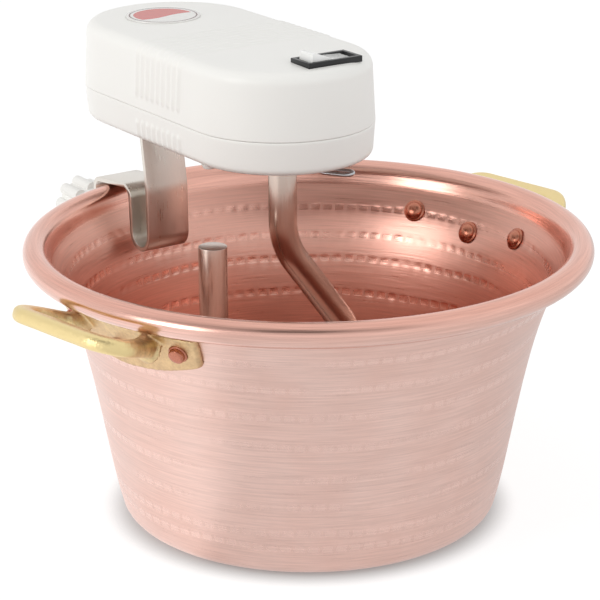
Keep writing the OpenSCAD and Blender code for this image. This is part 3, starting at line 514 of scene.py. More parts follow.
def printed_badge(finishes, centre):
    """Printed film under a clear coat: white ground, a thin dark ring and a plain red field."""
    material, tree = new_material("printed badge film")
    where = add(tree, "TexCoord")
    placed = add(tree, "Mapping", {"Vector": where.outputs["Object"],
                                   "Location": (-centre[0], -centre[1], 0)})
    flat = add(tree, "VectorMath", {0: placed.outputs[0], 1: (1, 1, 0)}, operation="MULTIPLY")
    radius = add(tree, "VectorMath", {0: flat.outputs[0]}, operation="LENGTH")
    axes = add(tree, "SeparateXYZ", {"Vector": placed.outputs[0]})
    # the ring is 0.8 mm wide on a radius of 17.1 mm, round a disc of 15.2 mm radius
    ring = add(tree, "Math", {0: radius.outputs["Value"], 1: 0.0171, 2: 0.0004}, operation="COMPARE")
    disc = add(tree, "Math", {0: radius.outputs["Value"], 1: 0.0152}, operation="LESS_THAN")
    # the field ends along a soft hill line, towards the free end of the housing
    wave = add(tree, "Math", {0: axes.outputs[1], 1: 180.0}, operation="MULTIPLY")
    hill = add(tree, "Math", {0: wave.outputs[0]}, operation="SINE")
    line = add(tree, "Math", {0: hill.outputs[0], 1: 0.0016, 2: axes.outputs[0]},
               operation="MULTIPLY_ADD")
    below = add(tree, "Math", {0: line.outputs[0], 1: 0.0035}, operation="LESS_THAN")
    field = add(tree, "Math", {0: disc.outputs[0], 1: below.outputs[0]}, operation="MULTIPLY")
    speck = add(tree, "TexNoise", {"Vector": where.outputs["Object"], "Scale": 500.0, "Detail": 2.0})
    white = add(tree, "Mix", {0: speck.outputs["Fac"], 6: linear("#DCDAD6"), 7: linear("#F2F1EE")},
                data_type="RGBA")
    red = add(tree, "Mix", {0: speck.outputs["Fac"], 6: shaded(finishes.red, 0.9),
                            7: shaded(finishes.red, 1.08)}, data_type="RGBA")
    printed = add(tree, "Mix", {0: field.outputs[0], 6: white.outputs[2], 7: red.outputs[2]},
                  data_type="RGBA")
    ringed = add(tree, "Mix", {0: ring.outputs[0], 6: printed.outputs[2], 7: linear("#6B4B47")},
                 data_type="RGBA")
    bump = add(tree, "Bump", {"Height": speck.outputs["Fac"], "Strength": 0.03, "Distance": 0.0002})
    film = add(tree, "BsdfPrincipled", {"Base Color": ringed.outputs[2], "Roughness": 0.22,
                                        "Normal": bump.outputs[0]})
    surface(tree, film)
    return material


# Shapes

def mix(a, b, t):
    """A point part of the way from a to b."""
    return tuple(p + (q - p) * t for p, q in zip(a, b))


def bezier(p, t):
    """A point on a cubic curve."""
    a, b, c = mix(p[0], p[1], t), mix(p[1], p[2], t), mix(p[2], p[3], t)
    return mix(mix(a, b, t), mix(b, c, t), t)


def unit(a, b):
    """The direction from a to b in the plane."""
    d = math.hypot(b[0] - a[0], b[1] - a[1])
    return ((b[0] - a[0]) / d, (b[1] - a[1]) / d)


# Where the wall meets the bead, in from the bead's middle, and the lengths of the curve's two handles
BEAD_JOINT = (3.4 * MM, 3.3 * MM)
LOWER_PULL, UPPER_PULL = 0.03, 0.0275


def wall_curve(s):
    """The four points of the wall's outer curve, as (radius, height)."""
    start = (s.foot + s.foot_corner * math.cos(s.wall_lean),
             s.foot_corner * (1 - math.sin(s.wall_lean)))
    end = (s.bead_ring - BEAD_JOINT[0], s.rim_height - BEAD_JOINT[1])
    lower = (start[0] + LOWER_PULL * math.sin(s.wall_lean),
             start[1] + LOWER_PULL * math.cos(s.wall_lean))
    upper = (end[0] - UPPER_PULL * math.sin(s.flare_lean),
             end[1] - UPPER_PULL * math.cos(s.flare_lean))
    return (start, lower, upper, end)


def wall_at_height(curve, height):
    """The point on the wall's curve at a height, and the direction of the wall there."""
    low, high = 0.0, 1.0
    for _ in range(40):
        middle = (low + high) / 2
        if bezier(curve, middle)[1] < height:
            low = middle
        else:
            high = middle
    t = (low + high) / 2
    return bezier(curve, t), unit(bezier(curve, max(t - 0.002, 0)), bezier(curve, min(t + 0.002, 1)))


# Heights of the rows of hammer marks, and of the ends of the outer and the inner wall
OUTER_ROWS_MM = (16.0, 24.0, 38.5, 54.5, 72.0, 88.0, 102.5, 117.5)
INNER_ROWS_MM = (120.0, 105.6, 93.5, 76.0)
OUTER_TOP_MM, INNER_TOP_MM, INNER_LOW_MM = 131.2, 127.5, 8.0
# A row isn't straight: height in millimetres and number of each of its waves round the pot
ROW_WAVES = ((0.45, 3), (0.35, 8), (0.15, 17))
# Points of the section over this height and outside this radius are on the rolled rim
ROLL_LOW, ROLL_INNER = 129.9 * MM, 126 * MM


def ring_heights(low_mm, high_mm, rows_mm, spacing_mm):
    """Heights of the rings on a wall: 1 mm apart across a row of marks, and wider apart elsewhere."""
    heights = [row + k for row in rows_mm for k in range(-3, 4)]
    heights = sorted(h for h in heights if low_mm < h < high_mm)
    filled = [low_mm]
    for h in heights + [high_mm]:
        gap = h - filled[-1]
        steps = max(1, round(gap / spacing_mm))
        filled += [filled[-1] + gap * (k + 1) / steps for k in range(steps)]
    return filled


def pot_outline(s):
    """The pot's closed section from the middle of the underside to the middle of the floor.

    Each point is (radius, height, row), where row is the height of the nearest row of marks, if any."""
    curve = wall_curve(s)
    # underside and the corner at the foot
    points = [(0.0, 0.0, None), (s.foot * 0.5, 0.0, None), (s.foot - 1 * MM, 0.0, None)]
    for degrees in (-90, -76, -62, -48, -34, -22):
        a = math.radians(degrees)
        points.append((s.foot + s.foot_corner * math.cos(a), s.foot_corner * (1 + math.sin(a)), None))
    # outer wall, then the groove between it and the bead
    for height in ring_heights(curve[0][1] / MM, OUTER_TOP_MM, OUTER_ROWS_MM, 4.6):
        point, _ = wall_at_height(curve, height * MM)
        row = min(OUTER_ROWS_MM, key=lambda r: abs(r - height))
        points.append((*point, row))
    points += [(129.3 * MM, 131.8 * MM, None), (130.3 * MM, 132.6 * MM, None),
               (130.7 * MM, 131.8 * MM, None)]
    # bead
    for k in range(25):
        a = math.radians(238 + 257 * k / 24)
        points.append((s.bead_ring + s.bead * math.cos(a), s.rim_height + s.bead * math.sin(a), None))
    # soft run from the upper inner side of the bead into the inner wall
    top = points[-1][:2]
    under, lean = wall_at_height(curve, INNER_TOP_MM * MM)
    inside = (under[0] - s.wall * lean[1], under[1] + s.wall * lean[0])
    roll = (top, (top[0] - 3.4 * MM, top[1] - 3.4 * MM),
            (inside[0] + 5 * MM * lean[0], inside[1] + 5 * MM * lean[1]), inside)
    points += [(*bezier(roll, k / 7), None) for k in range(1, 7)]
    # inner wall, the corner inside the foot and the floor
    for height in reversed(ring_heights(INNER_LOW_MM, INNER_TOP_MM, INNER_ROWS_MM, 5.0)):
        point, lean = wall_at_height(curve, height * MM)
        row = min(INNER_ROWS_MM, key=lambda r: abs(r - height))
        points.append((point[0] - s.wall * lean[1], point[1] + s.wall * lean[0], row))
    corner = s.foot_corner - s.wall
    for degrees in (-28, -45, -62, -78, -90):
        a = math.radians(degrees)
        points.append((s.foot - 1.4 * MM + corner * math.cos(a), s.floor + corner * (1 + math.sin(a)),
                       None))
    points += [(s.foot * 0.5, s.floor, None), (0.0, s.floor, None)]
    return points


def hammer(pot, outline, sizes):
    """Sinks the rows of hammer marks into the pot's wall and stores what its material reads.

    That is the way along the section in millimetres, the rim, the inside, and for the nearest row of
    marks the distance from it in millimetres and its number of marks."""
    seeds = random.Random(7)
    rows = sorted({row for _, _, row in outline if row is not None})
    waves = {row: [seeds.uniform(0, 2 * math.pi) for _ in ROW_WAVES] for row in rows}
    run = [0.0]
    for a, b in zip(outline, outline[1:]):
        run.append(run[-1] + math.hypot(b[0] - a[0], b[1] - a[1]) / MM)
    tree = kdtree.KDTree(len(outline))
    for i, (r, z, _) in enumerate(outline):
        tree.insert((r, z, 0.0), i)
    tree.balance()
    places = np.empty(len(pot.data.vertices) * 3, np.float32)
    pot.data.vertices.foreach_get("co", places)
    places = places.reshape(-1, 3).astype(float)
    reach = np.hypot(places[:, 0], places[:, 1])
    near = np.array([tree.find((r, z, 0.0))[1] for r, z in zip(reach, places[:, 2])])
    last = len(outline) - 1
    leans = np.array([unit(outline[max(i - 1, 0)], outline[min(i + 1, last)])
                      for i in range(last + 1)])[near]
    turn = np.arctan2(places[:, 1], places[:, 0])
    # away from all rows, a distance of 9 mm keeps the material from drawing marks
    far, counts, depth = np.full(len(near), 9.0), np.full(len(near), 100.0), np.zeros(len(near))
    for row in rows:
        here = np.array([line[2] == row for line in outline])[near]
        t, z, lean = turn[here], places[here, 2], leans[here]
        offset = (z / MM - row) / np.maximum(np.abs(lean[:, 1]), 0.2)
        offset += sum(high * np.sin(n * t + phase) for (high, n), phase in zip(ROW_WAVES, waves[row]))
        round_row = 2 * math.pi * (reach[here] - (z - row * MM) * lean[:, 0] / lean[:, 1])
        count = np.round(round_row.mean() / sizes.dent_pitch)
        share = t / (2 * math.pi) * count
        # each mark is struck a little harder or softer than its neighbours
        force = np.array([seeds.uniform(0.5, 1.4) for _ in range(int(count) + 2)])
        across = np.abs(share % 1.0 - 0.5) * sizes.dent_pitch / sizes.dent_half_width
        up = np.abs(offset) * MM / sizes.dent_half_height
        across, up = np.clip(across, 0, 1), np.clip(up, 0, 1)
        far[here], counts[here] = np.abs(offset), count
        deepest = sizes.dent_depth_inside if row in INNER_ROWS_MM else sizes.dent_depth
        own = force[np.floor(share).astype(int)]
        depth[here] = deepest * own * (1 - across ** 2) ** 2 * (1 - up ** 2) ** 2
    for axis in (0, 1):
        places[:, axis] -= depth * leans[:, 1] * places[:, axis] / np.maximum(reach, MM)
    places[:, 2] += depth * leans[:, 0]
    pot.data.vertices.foreach_set("co", places.astype(np.float32).ravel())
    rolled = [float(z > ROLL_LOW and r > ROLL_INNER) for r, z, _ in outline]
    # the outside's finish gives way to the inside's over ten points of the rolled rim
    first = rolled.index(1.0) + 10
    beyond = [min(1.0, max(0.0, (i - first) / 10)) for i in range(last + 1)]
    for name, values in (("along", np.array(run)[near]), ("rim", np.array(rolled)[near]),
                         ("inside", np.array(beyond)[near]),
                         ("row_distance", far), ("row_count", counts)):
        layer = pot.data.attributes.new(name, "FLOAT", "POINT")
        layer.data.foreach_set("value", values.astype(np.float32))


class POLENTA_OT_pot(bpy.types.Operator):
    """Makes the hammered copper pot with its rolled rim"""

    bl_idname = "polenta.pot"
    bl_label = "Copper pot"

    def execute(self, context):
        sizes, _, finishes = props()
        outline = pot_outline(sizes)
        pot = lathe("pot_wall", [(r, z) for r, z, _ in outline], sizes.turns)
        hammer(pot, outline, sizes)
        smooth(pot, 60)
        settle(pot, hammered_copper(finishes, sizes), BODY, "copper_wall", "pot_body")
        return {"FINISHED"}


# The handles' turns round the pot in degrees, by the node of their rivets
HANDLE_TURNS = {"rivets_left": 280, "rivets_right": 100}
RIVET_SPACING = 17.2  # degrees between the rivets of a handle
RIVET_SHARES = (0.842, 0.797, 0.842)  # how far along the wall's curve the three rivets sit
# A rivet in millimetres: radius, rise and height of its domed head, then its section from the head
# through the wall and the handle to the riveted end
RIVET_DOME_R, RIVET_DOME_RISE, RIVET_DOME_Z = 4.75, 2.6, -2.75
RIVET_STEM_MM = ((4.95, -2.62), (5.6, -2.55), (5.78, -2.35), (5.8, -1.95), (5.6, -1.78), (3.8, -1.75),
                 (3.8, 2.6), (4.7, 2.95), (4.75, 3.25), (4.45, 3.5), (3.95, 3.6), (3.88, 5.1),
                 (3.7, 5.5), (3.3, 5.75), (1.6, 5.8), (0.0, 5.78))


def rivet_frame(sizes, azimuth, k):
    """The place and direction of one rivet, pointing outwards from the wall."""
    t = RIVET_SHARES[k + 1]
    curve = wall_curve(sizes)
    place = bezier(curve, t)
    lean = unit(bezier(curve, t - 0.01), bezier(curve, t + 0.01))
    tilt = math.atan2(lean[0], lean[1])
    return (Matrix.Rotation(math.radians(azimuth + RIVET_SPACING * k), 4, "Z")
            @ Matrix.Translation((place[0], 0, place[1]))
            @ Matrix.Rotation(math.radians(90) + tilt, 4, "Y"))


class POLENTA_OT_rivets(bpy.types.Operator):
    """Makes the six copper rivets of the handles"""

    bl_idname = "polenta.rivets"
    bl_label = "Rivets"

    def execute(self, context):
        sizes, _, finishes = props()
        material = rivet_copper(finishes)
        dome = [(RIVET_DOME_R * math.sin(math.radians(a)),
                 RIVET_DOME_Z - RIVET_DOME_RISE * math.cos(math.radians(a))) for a in range(0, 91, 10)]
        outline = [(r * MM, z * MM) for r, z in (*dome, *RIVET_STEM_MM)]
        for name, node in (("rivets_near", "rivets_left"), ("rivets_far", "rivets_right")):
            pieces = []
            for k in (-1, 0, 1):
                rivet = lathe(f"{name}_{k + 1}", outline, 40)
                smooth(rivet, 42)
                rivet.data.transform(rivet_frame(sizes, HANDLE_TURNS[node], k))
                pieces.append(rivet)
            rivets = join(pieces)
            rivets.name = name
            settle(rivets, material, BODY, "copper_rivet", node)
        return {"FINISHED"}


class POLENTA_OT_handles(bpy.types.Operator):
    """Makes the two cast brass handles with the soft edges of a casting"""

    bl_idname = "polenta.handles"
    bl_label = "Handles"

    def execute(self, context):
        _, _, finishes = props()
        material = cast_brass(finishes)
        for name, node in (("handle_near", "handle_left"), ("handle_far", "handle_right")):
            handle = copy_of(node, name, join_flats=False)
            modify(handle, "REMESH", mode="VOXEL", voxel_size=0.75 * MM, use_smooth_shade=True)
            modify(handle, "SMOOTH", factor=0.5, iterations=4)
            # the mould's unevenness, a tenth of a millimetre over 8 to 20 mm
            shifts = [v.normal * 0.0001 * noise.noise(v.co * 90) for v in handle.data.vertices]
            for vertex, shift in zip(handle.data.vertices, shifts):
                vertex.co += shift
            bpy.ops.object.shade_smooth()
            settle(handle, material, BODY, "cast_brass", node)
        return {"FINISHED"}


SHELL_WALL = 2.2 * MM
# How far the sides of the upper and lower shell lean in from the parting line
UPPER_DRAFT, LOWER_DRAFT = 1.4 * MM, 1 * MM
TOP_RIB_HEIGHT = 0.35 * MM
# The soft edge of each shell at the parting line: how far in, and how far from the line
SEAM_EDGE = ((0.12 * MM, 0.16 * MM), (0.45 * MM, 0.04 * MM))
OPEN_TOP = 0.25  # a height over everything, for cutters that open upwards
# Holes in the underside, in millimetres: x, y from the housing's plane, radius and depth
UNDERSIDE_HOLES_MM = ((26, 25, 3.2, 12), (26, -25, 3.2, 12), (-122, 24, 3.2, 12), (-122, -24, 3.2, 12),
                      (-17, 36, 3.2, 4), (-17, -36, 3.2, 4), (-80, 34, 3.2, 4), (-80, -34, 3.2, 4),
                      (0, 0, 6.5, 10), (-84, -12, 2.7, 10), (-66, -12, 2.7, 10))
# Section of the two small feet under the housing, and their place, in millimetres
NUB_MM = ((0.0, 183.0), (2.2, 183.0), (2.8, 183.25), (3.05, 183.8), (3.4, 184.6), (3.7, 185.2),
          (0.0, 185.2))
NUB_X_MM, NUB_Y_MM = -3, 40


def perimeter(h):
    """Stations round the housing's plan: centre x, direction and share of a rib."""
    last = h.rib_first_x + (h.rib_count - 1) * h.rib_pitch
    low, high = h.rib_first_x - h.rib_pitch / 2, last + h.rib_pitch / 2
    xs = [h.tail_x + (low - h.tail_x) * k / 9 for k in range(9)]
    ribs = 8 * h.rib_count
    xs += [low + (high - low) * k / ribs for k in range(ribs + 1)]
    xs += [high + (h.nose_x - high) * k / 5 for k in range(1, 6)]

    def rib(x):
        if x < low or x > high:
            return 0.0
        return 0.5 + 0.5 * math.cos(2 * math.pi * (x - h.rib_first_x) / h.rib_pitch)

    round_end = [math.radians(-90 + 180 * k / 48) for k in range(1, 48)]
    stations = [(h.nose_x, math.cos(a), math.sin(a), 0.0) for a in round_end]
    stations += [(x, 0.0, 1.0, rib(x)) for x in reversed(xs)]
    stations += [(h.tail_x, -math.cos(a), -math.sin(a), 0.0) for a in round_end]
    stations += [(x, 0.0, -1.0, rib(x)) for x in xs]
    return stations


def shell(name, h, section):
    """A moulded shell: each section point (half width, height, normal, rib height) goes once round."""
    stations = perimeter(h)
    verts, faces = [], []
    for w, z, (nw, nz), rib in section:
        for cx, c, s, share in stations:
            grow = rib * share
            reach = w + grow * nw if w > 0 else 0.0
            verts.append((cx + reach * c, h.axis_y + reach * s, z + grow * nz))
    n = len(stations)
    for j in range(len(section) - 1):
        for i in range(n):
            k = (i + 1) % n
            faces.append((j * n + i, j * n + k, (j + 1) * n + k, (j + 1) * n + i))
    piece = new_piece(name, verts, [], faces)
    tidy_mesh(piece, 0.01)
    return piece


def upper_section(h):
    """The upper shell's section from the middle of the top to the parting line."""
    w, r = h.half_width, h.top_round
    inner = w - UPPER_DRAFT - r
    side_top = h.top - h.crown - r
    points = []
    for k in range(9):
        x = inner * k / 8
        points.append((x, h.top - h.crown * (x / inner) ** 2, (0.0, 1.0), TOP_RIB_HEIGHT))
    for k in range(1, 10):
        a = math.radians(90 - 90 * k / 9)
        rib = TOP_RIB_HEIGHT + (h.rib_height - TOP_RIB_HEIGHT) * k / 9
        points.append((inner + r * math.cos(a), side_top + r * math.sin(a), (math.cos(a), math.sin(a)),
                       rib))
    # down the side, where the ribs run out over the last 4 mm
    for z_mm, share in ((224, 1), (218, 1), (213, 1), (210, 1), (209, 0.95), (208.3, 0.7), (207.6, 0.35),
                        (206.9, 0.08), (206, 0), (204, 0), (202.4, 0), (201.95, 0)):
        z = z_mm * MM
        lean = (side_top - z) / (side_top - h.split)
        points.append((w - UPPER_DRAFT * (1 - lean), z, (1.0, 0.04), h.rib_height * share))
    points += [(w - x, h.split + z, (1.0, 0.0), 0.0) for x, z in SEAM_EDGE]
    return points


def lower_section(h):
    """The lower shell's section from the parting line to the middle of the underside."""
    w, r = h.half_width, h.bottom_round
    points = [(w - x, h.split - z, (1.0, 0.0), 0.0) for x, z in reversed(SEAM_EDGE)]
    corner = h.bottom + r
    for z_mm, share in ((201.25, 0), (200, 0), (197, 0), (196, 0.1), (195.3, 0.5), (194.6, 0.85),
                        (193.8, 1), (191.5, 1), (189.8, 1)):
        z = z_mm * MM
        lean = (z - corner) / (h.split - corner)
        points.append((w - LOWER_DRAFT * (1 - lean), z, (1.0, -0.05), h.rib_height * share))
    for k in range(0, 8):
        a = math.radians(-90 * k / 7)
        points.append((w - LOWER_DRAFT - r + r * math.cos(a), corner + r * math.sin(a),
                       (math.cos(a), math.sin(a)), h.rib_height * max(0.0, 1 - k / 4)))
    for share in (0.75, 0.5, 0.25, 0.0):
        points.append(((w - LOWER_DRAFT - r) * share, h.bottom, (0.0, -1.0), 0.0))
    return points


class POLENTA_OT_housing(bpy.types.Operator):
    """Makes the upper and lower shell of the motor housing"""

    bl_idname = "polenta.housing"
    bl_label = "Motor housing"

    def execute(self, context):
        _, h, finishes = props()
        material = moulded("satin white moulding", finishes.plastic, 0.36, 0.5, 0.05, 0.015)
        upper = shell("housing_top", h, upper_section(h))
        modify(upper, "SOLIDIFY", thickness=SHELL_WALL, offset=-1, use_even_offset=False)
        x, y = SWITCH_X, h.axis_y + SWITCH_Y
        for name, half_x, half_y, deep in (("seat", 7.8, 15.3, 1.2), ("hole", 6.3, 13.8, 6)):
            half_x, half_y = half_x * MM, half_y * MM
            cut(upper, block(name, (x - half_x, y - half_y, h.top - deep * MM),
                             (x + half_x, y + half_y, OPEN_TOP)))
        cut(upper, rod("badge seat", 19.1 * MM, h.top - 0.5 * MM, OPEN_TOP, BADGE_X, h.axis_y + BADGE_Y,
                       96))
        smooth(upper, 50)
        settle(upper, material, BODY, "white_plastic", "upper_shell")
        lower = shell("housing_bottom", h, lower_section(h))
        modify(lower, "SOLIDIFY", thickness=SHELL_WALL, offset=-1, use_even_offset=False)
        cut(lower, join([rod("hole", radius * MM, h.bottom - 5 * MM, h.bottom + depth * MM, hole_x * MM,
                             h.axis_y + hole_y * MM, 32)
                         for hole_x, hole_y, radius, depth in UNDERSIDE_HOLES_MM]))
        nubs = []
        for side in (-1, 1):
            nub = lathe("nub", [(r * MM, z * MM) for r, z in NUB_MM], 32)
            nub.data.transform(Matrix.Translation((NUB_X_MM * MM, h.axis_y + side * NUB_Y_MM * MM, 0)))
            nubs.append(nub)
        join([lower, *nubs])
        smooth(lower, 50)
        settle(lower, material, BODY, "white_plastic", "lower_shell")
        return {"FINISHED"}


class POLENTA_OT_switch(bpy.types.Operator):
    """Makes the rocker switch on the housing"""

    bl_idname = "polenta.switch"
    bl_label = "Rocker switch"

    def execute(self, context):
        _, _, finishes = props()
        black = moulded("black satin moulding", finishes.black, 0.34, 0.4, 0.05, 0.1)
        white = moulded("smooth white moulding", linear("#FAFAF8"), 0.2, 0.6, 0.02, 0.01)
        dress("switch_body", "switch_frame", black, BODY, "black_plastic", 0.45, 38, 3)
        dress("switch_rocker", "switch_key", white, "rocker", "rocker_plastic", 0.4, 25, 3)
        return {"FINISHED"}


# Section of the badge from the middle of its underside to the middle of its face, in millimetres
BADGE_MM = ((0.0, -0.45), (18.7, -0.45), (18.95, -0.2), (19.0, 0.15), (18.9, 0.4), (18.55, 0.5),
            (15.0, 0.5), (0.0, 0.5))


class POLENTA_OT_badge(bpy.types.Operator):
    """Makes the round printed badge, with a plain two-tone field"""

    bl_idname = "polenta.badge"
    bl_label = "Badge"

    def execute(self, context):
        _, h, finishes = props()
        badge = lathe("badge_disc", [(r * MM, h.top + z * MM) for r, z in BADGE_MM], 96)
        centre = (BADGE_X, h.axis_y + BADGE_Y)
        badge.data.transform(Matrix.Translation((*centre, 0)))
        smooth(badge, 35)
        settle(badge, printed_badge(finishes, centre), BODY, "badge_film", "badge")
        return {"FINISHED"}


def bent_path(corners, radii, steps=10):
    """A path of straight legs whose corners are rounded with the given radii."""
    path = [corners[0]]
    for before, corner, after, radius in zip(corners, corners[1:], corners[2:], radii):
        into = (Vector(corner) - Vector(before)).normalized()
        out = (Vector(after) - Vector(corner)).normalized()
        turn = into.angle(out)
        start = Vector(corner) - into * radius * math.tan(turn / 2)
        middle = start + (out - into * into.dot(out)).normalized() * radius
        for k in range(steps + 1):
            a = turn * k / steps
            path.append(middle + (start - middle) * math.cos(a) + into * radius * math.sin(a))
    return path + [corners[-1]]


def bent_bar(name, path, radius):
    """A round bar along a path, with a small chamfer at its ends."""
    curve = bpy.data.curves.new(name, "CURVE")
    curve.dimensions = "3D"
    curve.bevel_depth = radius
    curve.bevel_resolution = 10
    curve.use_fill_caps = True
    line = curve.splines.new("POLY")
    line.points.add(len(path) - 1)
    for point, place in zip(line.points, path):
        point.co = (*place, 1.0)
    piece = bpy.data.objects.new(name, curve)
    bpy.context.collection.objects.link(piece)
    activate(piece)
    bpy.ops.object.convert(target="MESH")
    piece = bpy.context.object
    tidy_mesh(piece)
    modify(piece, "BEVEL", width=1.2 * MM, segments=3, limit_method="ANGLE",
           angle_limit=math.radians(60))
    smooth(piece, 40)
    return piece


# Corners of the stirring bar before its bends are rounded: y from the housing's plane, and z.
# The upper bends of the real bar are wide, about two and a half times its thickness.
BAR_CORNERS_MM = ((0, 184), (0, 139), (40.5, 85), (40.5, 14), (-40.5, 14), (-40.5, 145))
BAR_BENDS_MM = (36, 36, 18, 18)
BAR_RADIUS = 7 * MM


class POLENTA_OT_stirrer(bpy.types.Operator):
    """Makes the bent stirrer, its spindle and the hitch pin"""

    bl_idname = "polenta.stirrer"
    bl_label = "Stirrer"

    def execute(self, context):
        _, h, finishes = props()
        # the bar's colour carries a painted pink reflection of the copper pot
        bar = drawn_steel("drawn stainless bar", finishes.bar, 0.16, 0.28, (1.0, 1.0, 0.06), 0.9)
        wire = drawn_steel("bright spring wire", finishes.zinc, 0.18, 0.3, (1.0, 1.0, 1.0), 0.6)
        body = "stirrer_and_spindle"
        corners = [(0.0, h.axis_y + y * MM, z * MM) for y, z in BAR_CORNERS_MM]
        path = bent_path(corners, [radius * MM for radius in BAR_BENDS_MM])
        settle(bent_bar("stirring_bar", path, BAR_RADIUS), bar, body, "steel_bar", "stirrer")
        dress("hitch_pin", "hitch_pin_wire", wire, body, "steel_wire", 0.25, 50, 2)
        dress("drive_spindle", "drive_shaft", wire, body, "steel_screw", 0.3, 50, 2)
        return {"FINISHED"}


class POLENTA_OT_clamp(bpy.types.Operator):
    """Makes the bent strip over the rim and the clamp behind it"""

    bl_idname = "polenta.clamp"
    bl_label = "Rim clamp"

    def execute(self, context):
        _, _, finishes = props()
        strip = drawn_steel("rolled steel strip", finishes.steel, 0.24, 0.4, (1.0, 1.0, 0.08), 0.8)
        zinc = drawn_steel("zinc plated steel", finishes.zinc, 0.26, 0.42, (1.0, 1.0, 1.0), 0.7)
        knob = moulded("moulded white knob", finishes.plastic, 0.4, 0.5, 0.06, 0.02)
        rubber = moulded("moulded black rubber", linear("#1F1F20"), 0.62, 0.5, 0.15, 0.15)
        dress("clamp_bracket", "rim_strip", strip, BODY, "steel_strip", 0.32, 40, 2)
        dress("bracket_screws", "strip_screws", zinc, BODY, "steel_screw", 0.3, 50, 2)
        dress("clamp_nut", "clamp_hexagon", zinc, BODY, "steel_screw", 0.4, 40, 2)
        dress("clamp_screw", "clamp_rod", zinc, "knob_and_screw", "steel_screw", 0.4, 50, 2)
        dress("clamp_knob", "clamp_grip", knob, "knob_and_screw", "white_plastic", 0.9, 45, 3)
        dress("clamp_pad", "clamp_foot", rubber, "pad", "pad_rubber", 0.4, 50, 2)
        dress("shell_screws", "housing_screws", zinc, BODY, "steel_screw", 0.3, 50, 2)
        dress("chassis_screws", "plate_screws", zinc, BODY, "steel_screw", 0.25, 50, 2)
        return {"FINISHED"}


class POLENTA_OT_mechanism(bpy.types.Operator):
    """Gives the motor, gears and plates inside the housing their finishes"""

    bl_idname = "polenta.mechanism"
    bl_label = "Mechanism"

    def execute(self, context):
        _, _, finishes = props()
        sheet = drawn_steel("zinc plated sheet", finishes.zinc, 0.3, 0.45, (0.06, 1.0, 1.0), 0.8)
        turned = drawn_steel("turned steel", finishes.zinc, 0.2, 0.32, (0.2, 0.2, 1.0), 0.5)
        nylon = moulded("natural nylon", linear("#DEDACB"), 0.4, 0.8, 0.05, 0.03)
        bronze = drawn_steel("sintered bronze", linear("#B8894A"), 0.4, 0.55, (1.0, 1.0, 1.0), 0.4)
        black = moulded("black nylon bobbin", finishes.black, 0.42, 0.5, 0.06, 0.1)
        stack = banded("stacked motor sheets", linear("#4B4C4F"), linear("#8B8D90"), 1.0, 0.4, "Z",
                       0.6)
        wire = banded("enamelled copper wire", linear("#7E3B1F"), linear("#C56D42"), 0.8, 0.3, "Y",
                      0.7)
        for node, material in {"rim_wire": turned, "chassis_plate": sheet, "gear_plate": sheet,
                               "plate_posts": turned, "counter_shaft": turned, "counter_gear": nylon,
                               "output_gear": nylon, "spindle_bushes": bronze, "motor_stack": stack,
                               "motor_bobbin": black, "motor_winding": wire, "motor_bridge": sheet,
                               "motor_bolts": turned, "rotor_core": stack,
                               "rotor_shaft": turned}.items():
            repaint(node, material)
        return {"FINISHED"}


# The camera's axes and place, fitted to the outlines of the rim, the foot and the housing
CAMERA_RIGHT = Vector((0.5645, 0.8254, -0.0039))
CAMERA_UP = Vector((-0.2660, 0.1863, 0.9458))
CAMERA_BACK = Vector((0.7814, -0.5328, 0.3247))
CAMERA_PLACE = (0.9285, -0.6382, 0.4937)
MIDDLE = Vector((0, 0, 0.1))
# Directions of what the polished metal shows: window, dark part of the ceiling, soft box, gap over it
WINDOW_SIDE = (-0.87, -0.5, 0.0)
DARK_SIDE = (0.64, -0.77, 0.0)
SOFT_BOX = (0.0, -0.96, 0.28)
DARK_GAP = (0.49, -0.40, 0.77)


def soft_lamp(name, place, target, size, power, tint):
    """An area lamp aimed at a point."""
    data = bpy.data.lights.new(name, "AREA")
    data.shape = "RECTANGLE"
    data.size, data.size_y = size
    data.energy = power
    data.color = tint
    lamp = bpy.data.objects.new(name, data)
    lamp.visible_glossy = False
    aim = (Vector(place) - Vector(target)).to_track_quat("Z", "Y").to_matrix().to_4x4()
    lamp.matrix_world = Matrix.Translation(place) @ aim
    bpy.context.collection.objects.link(lamp)


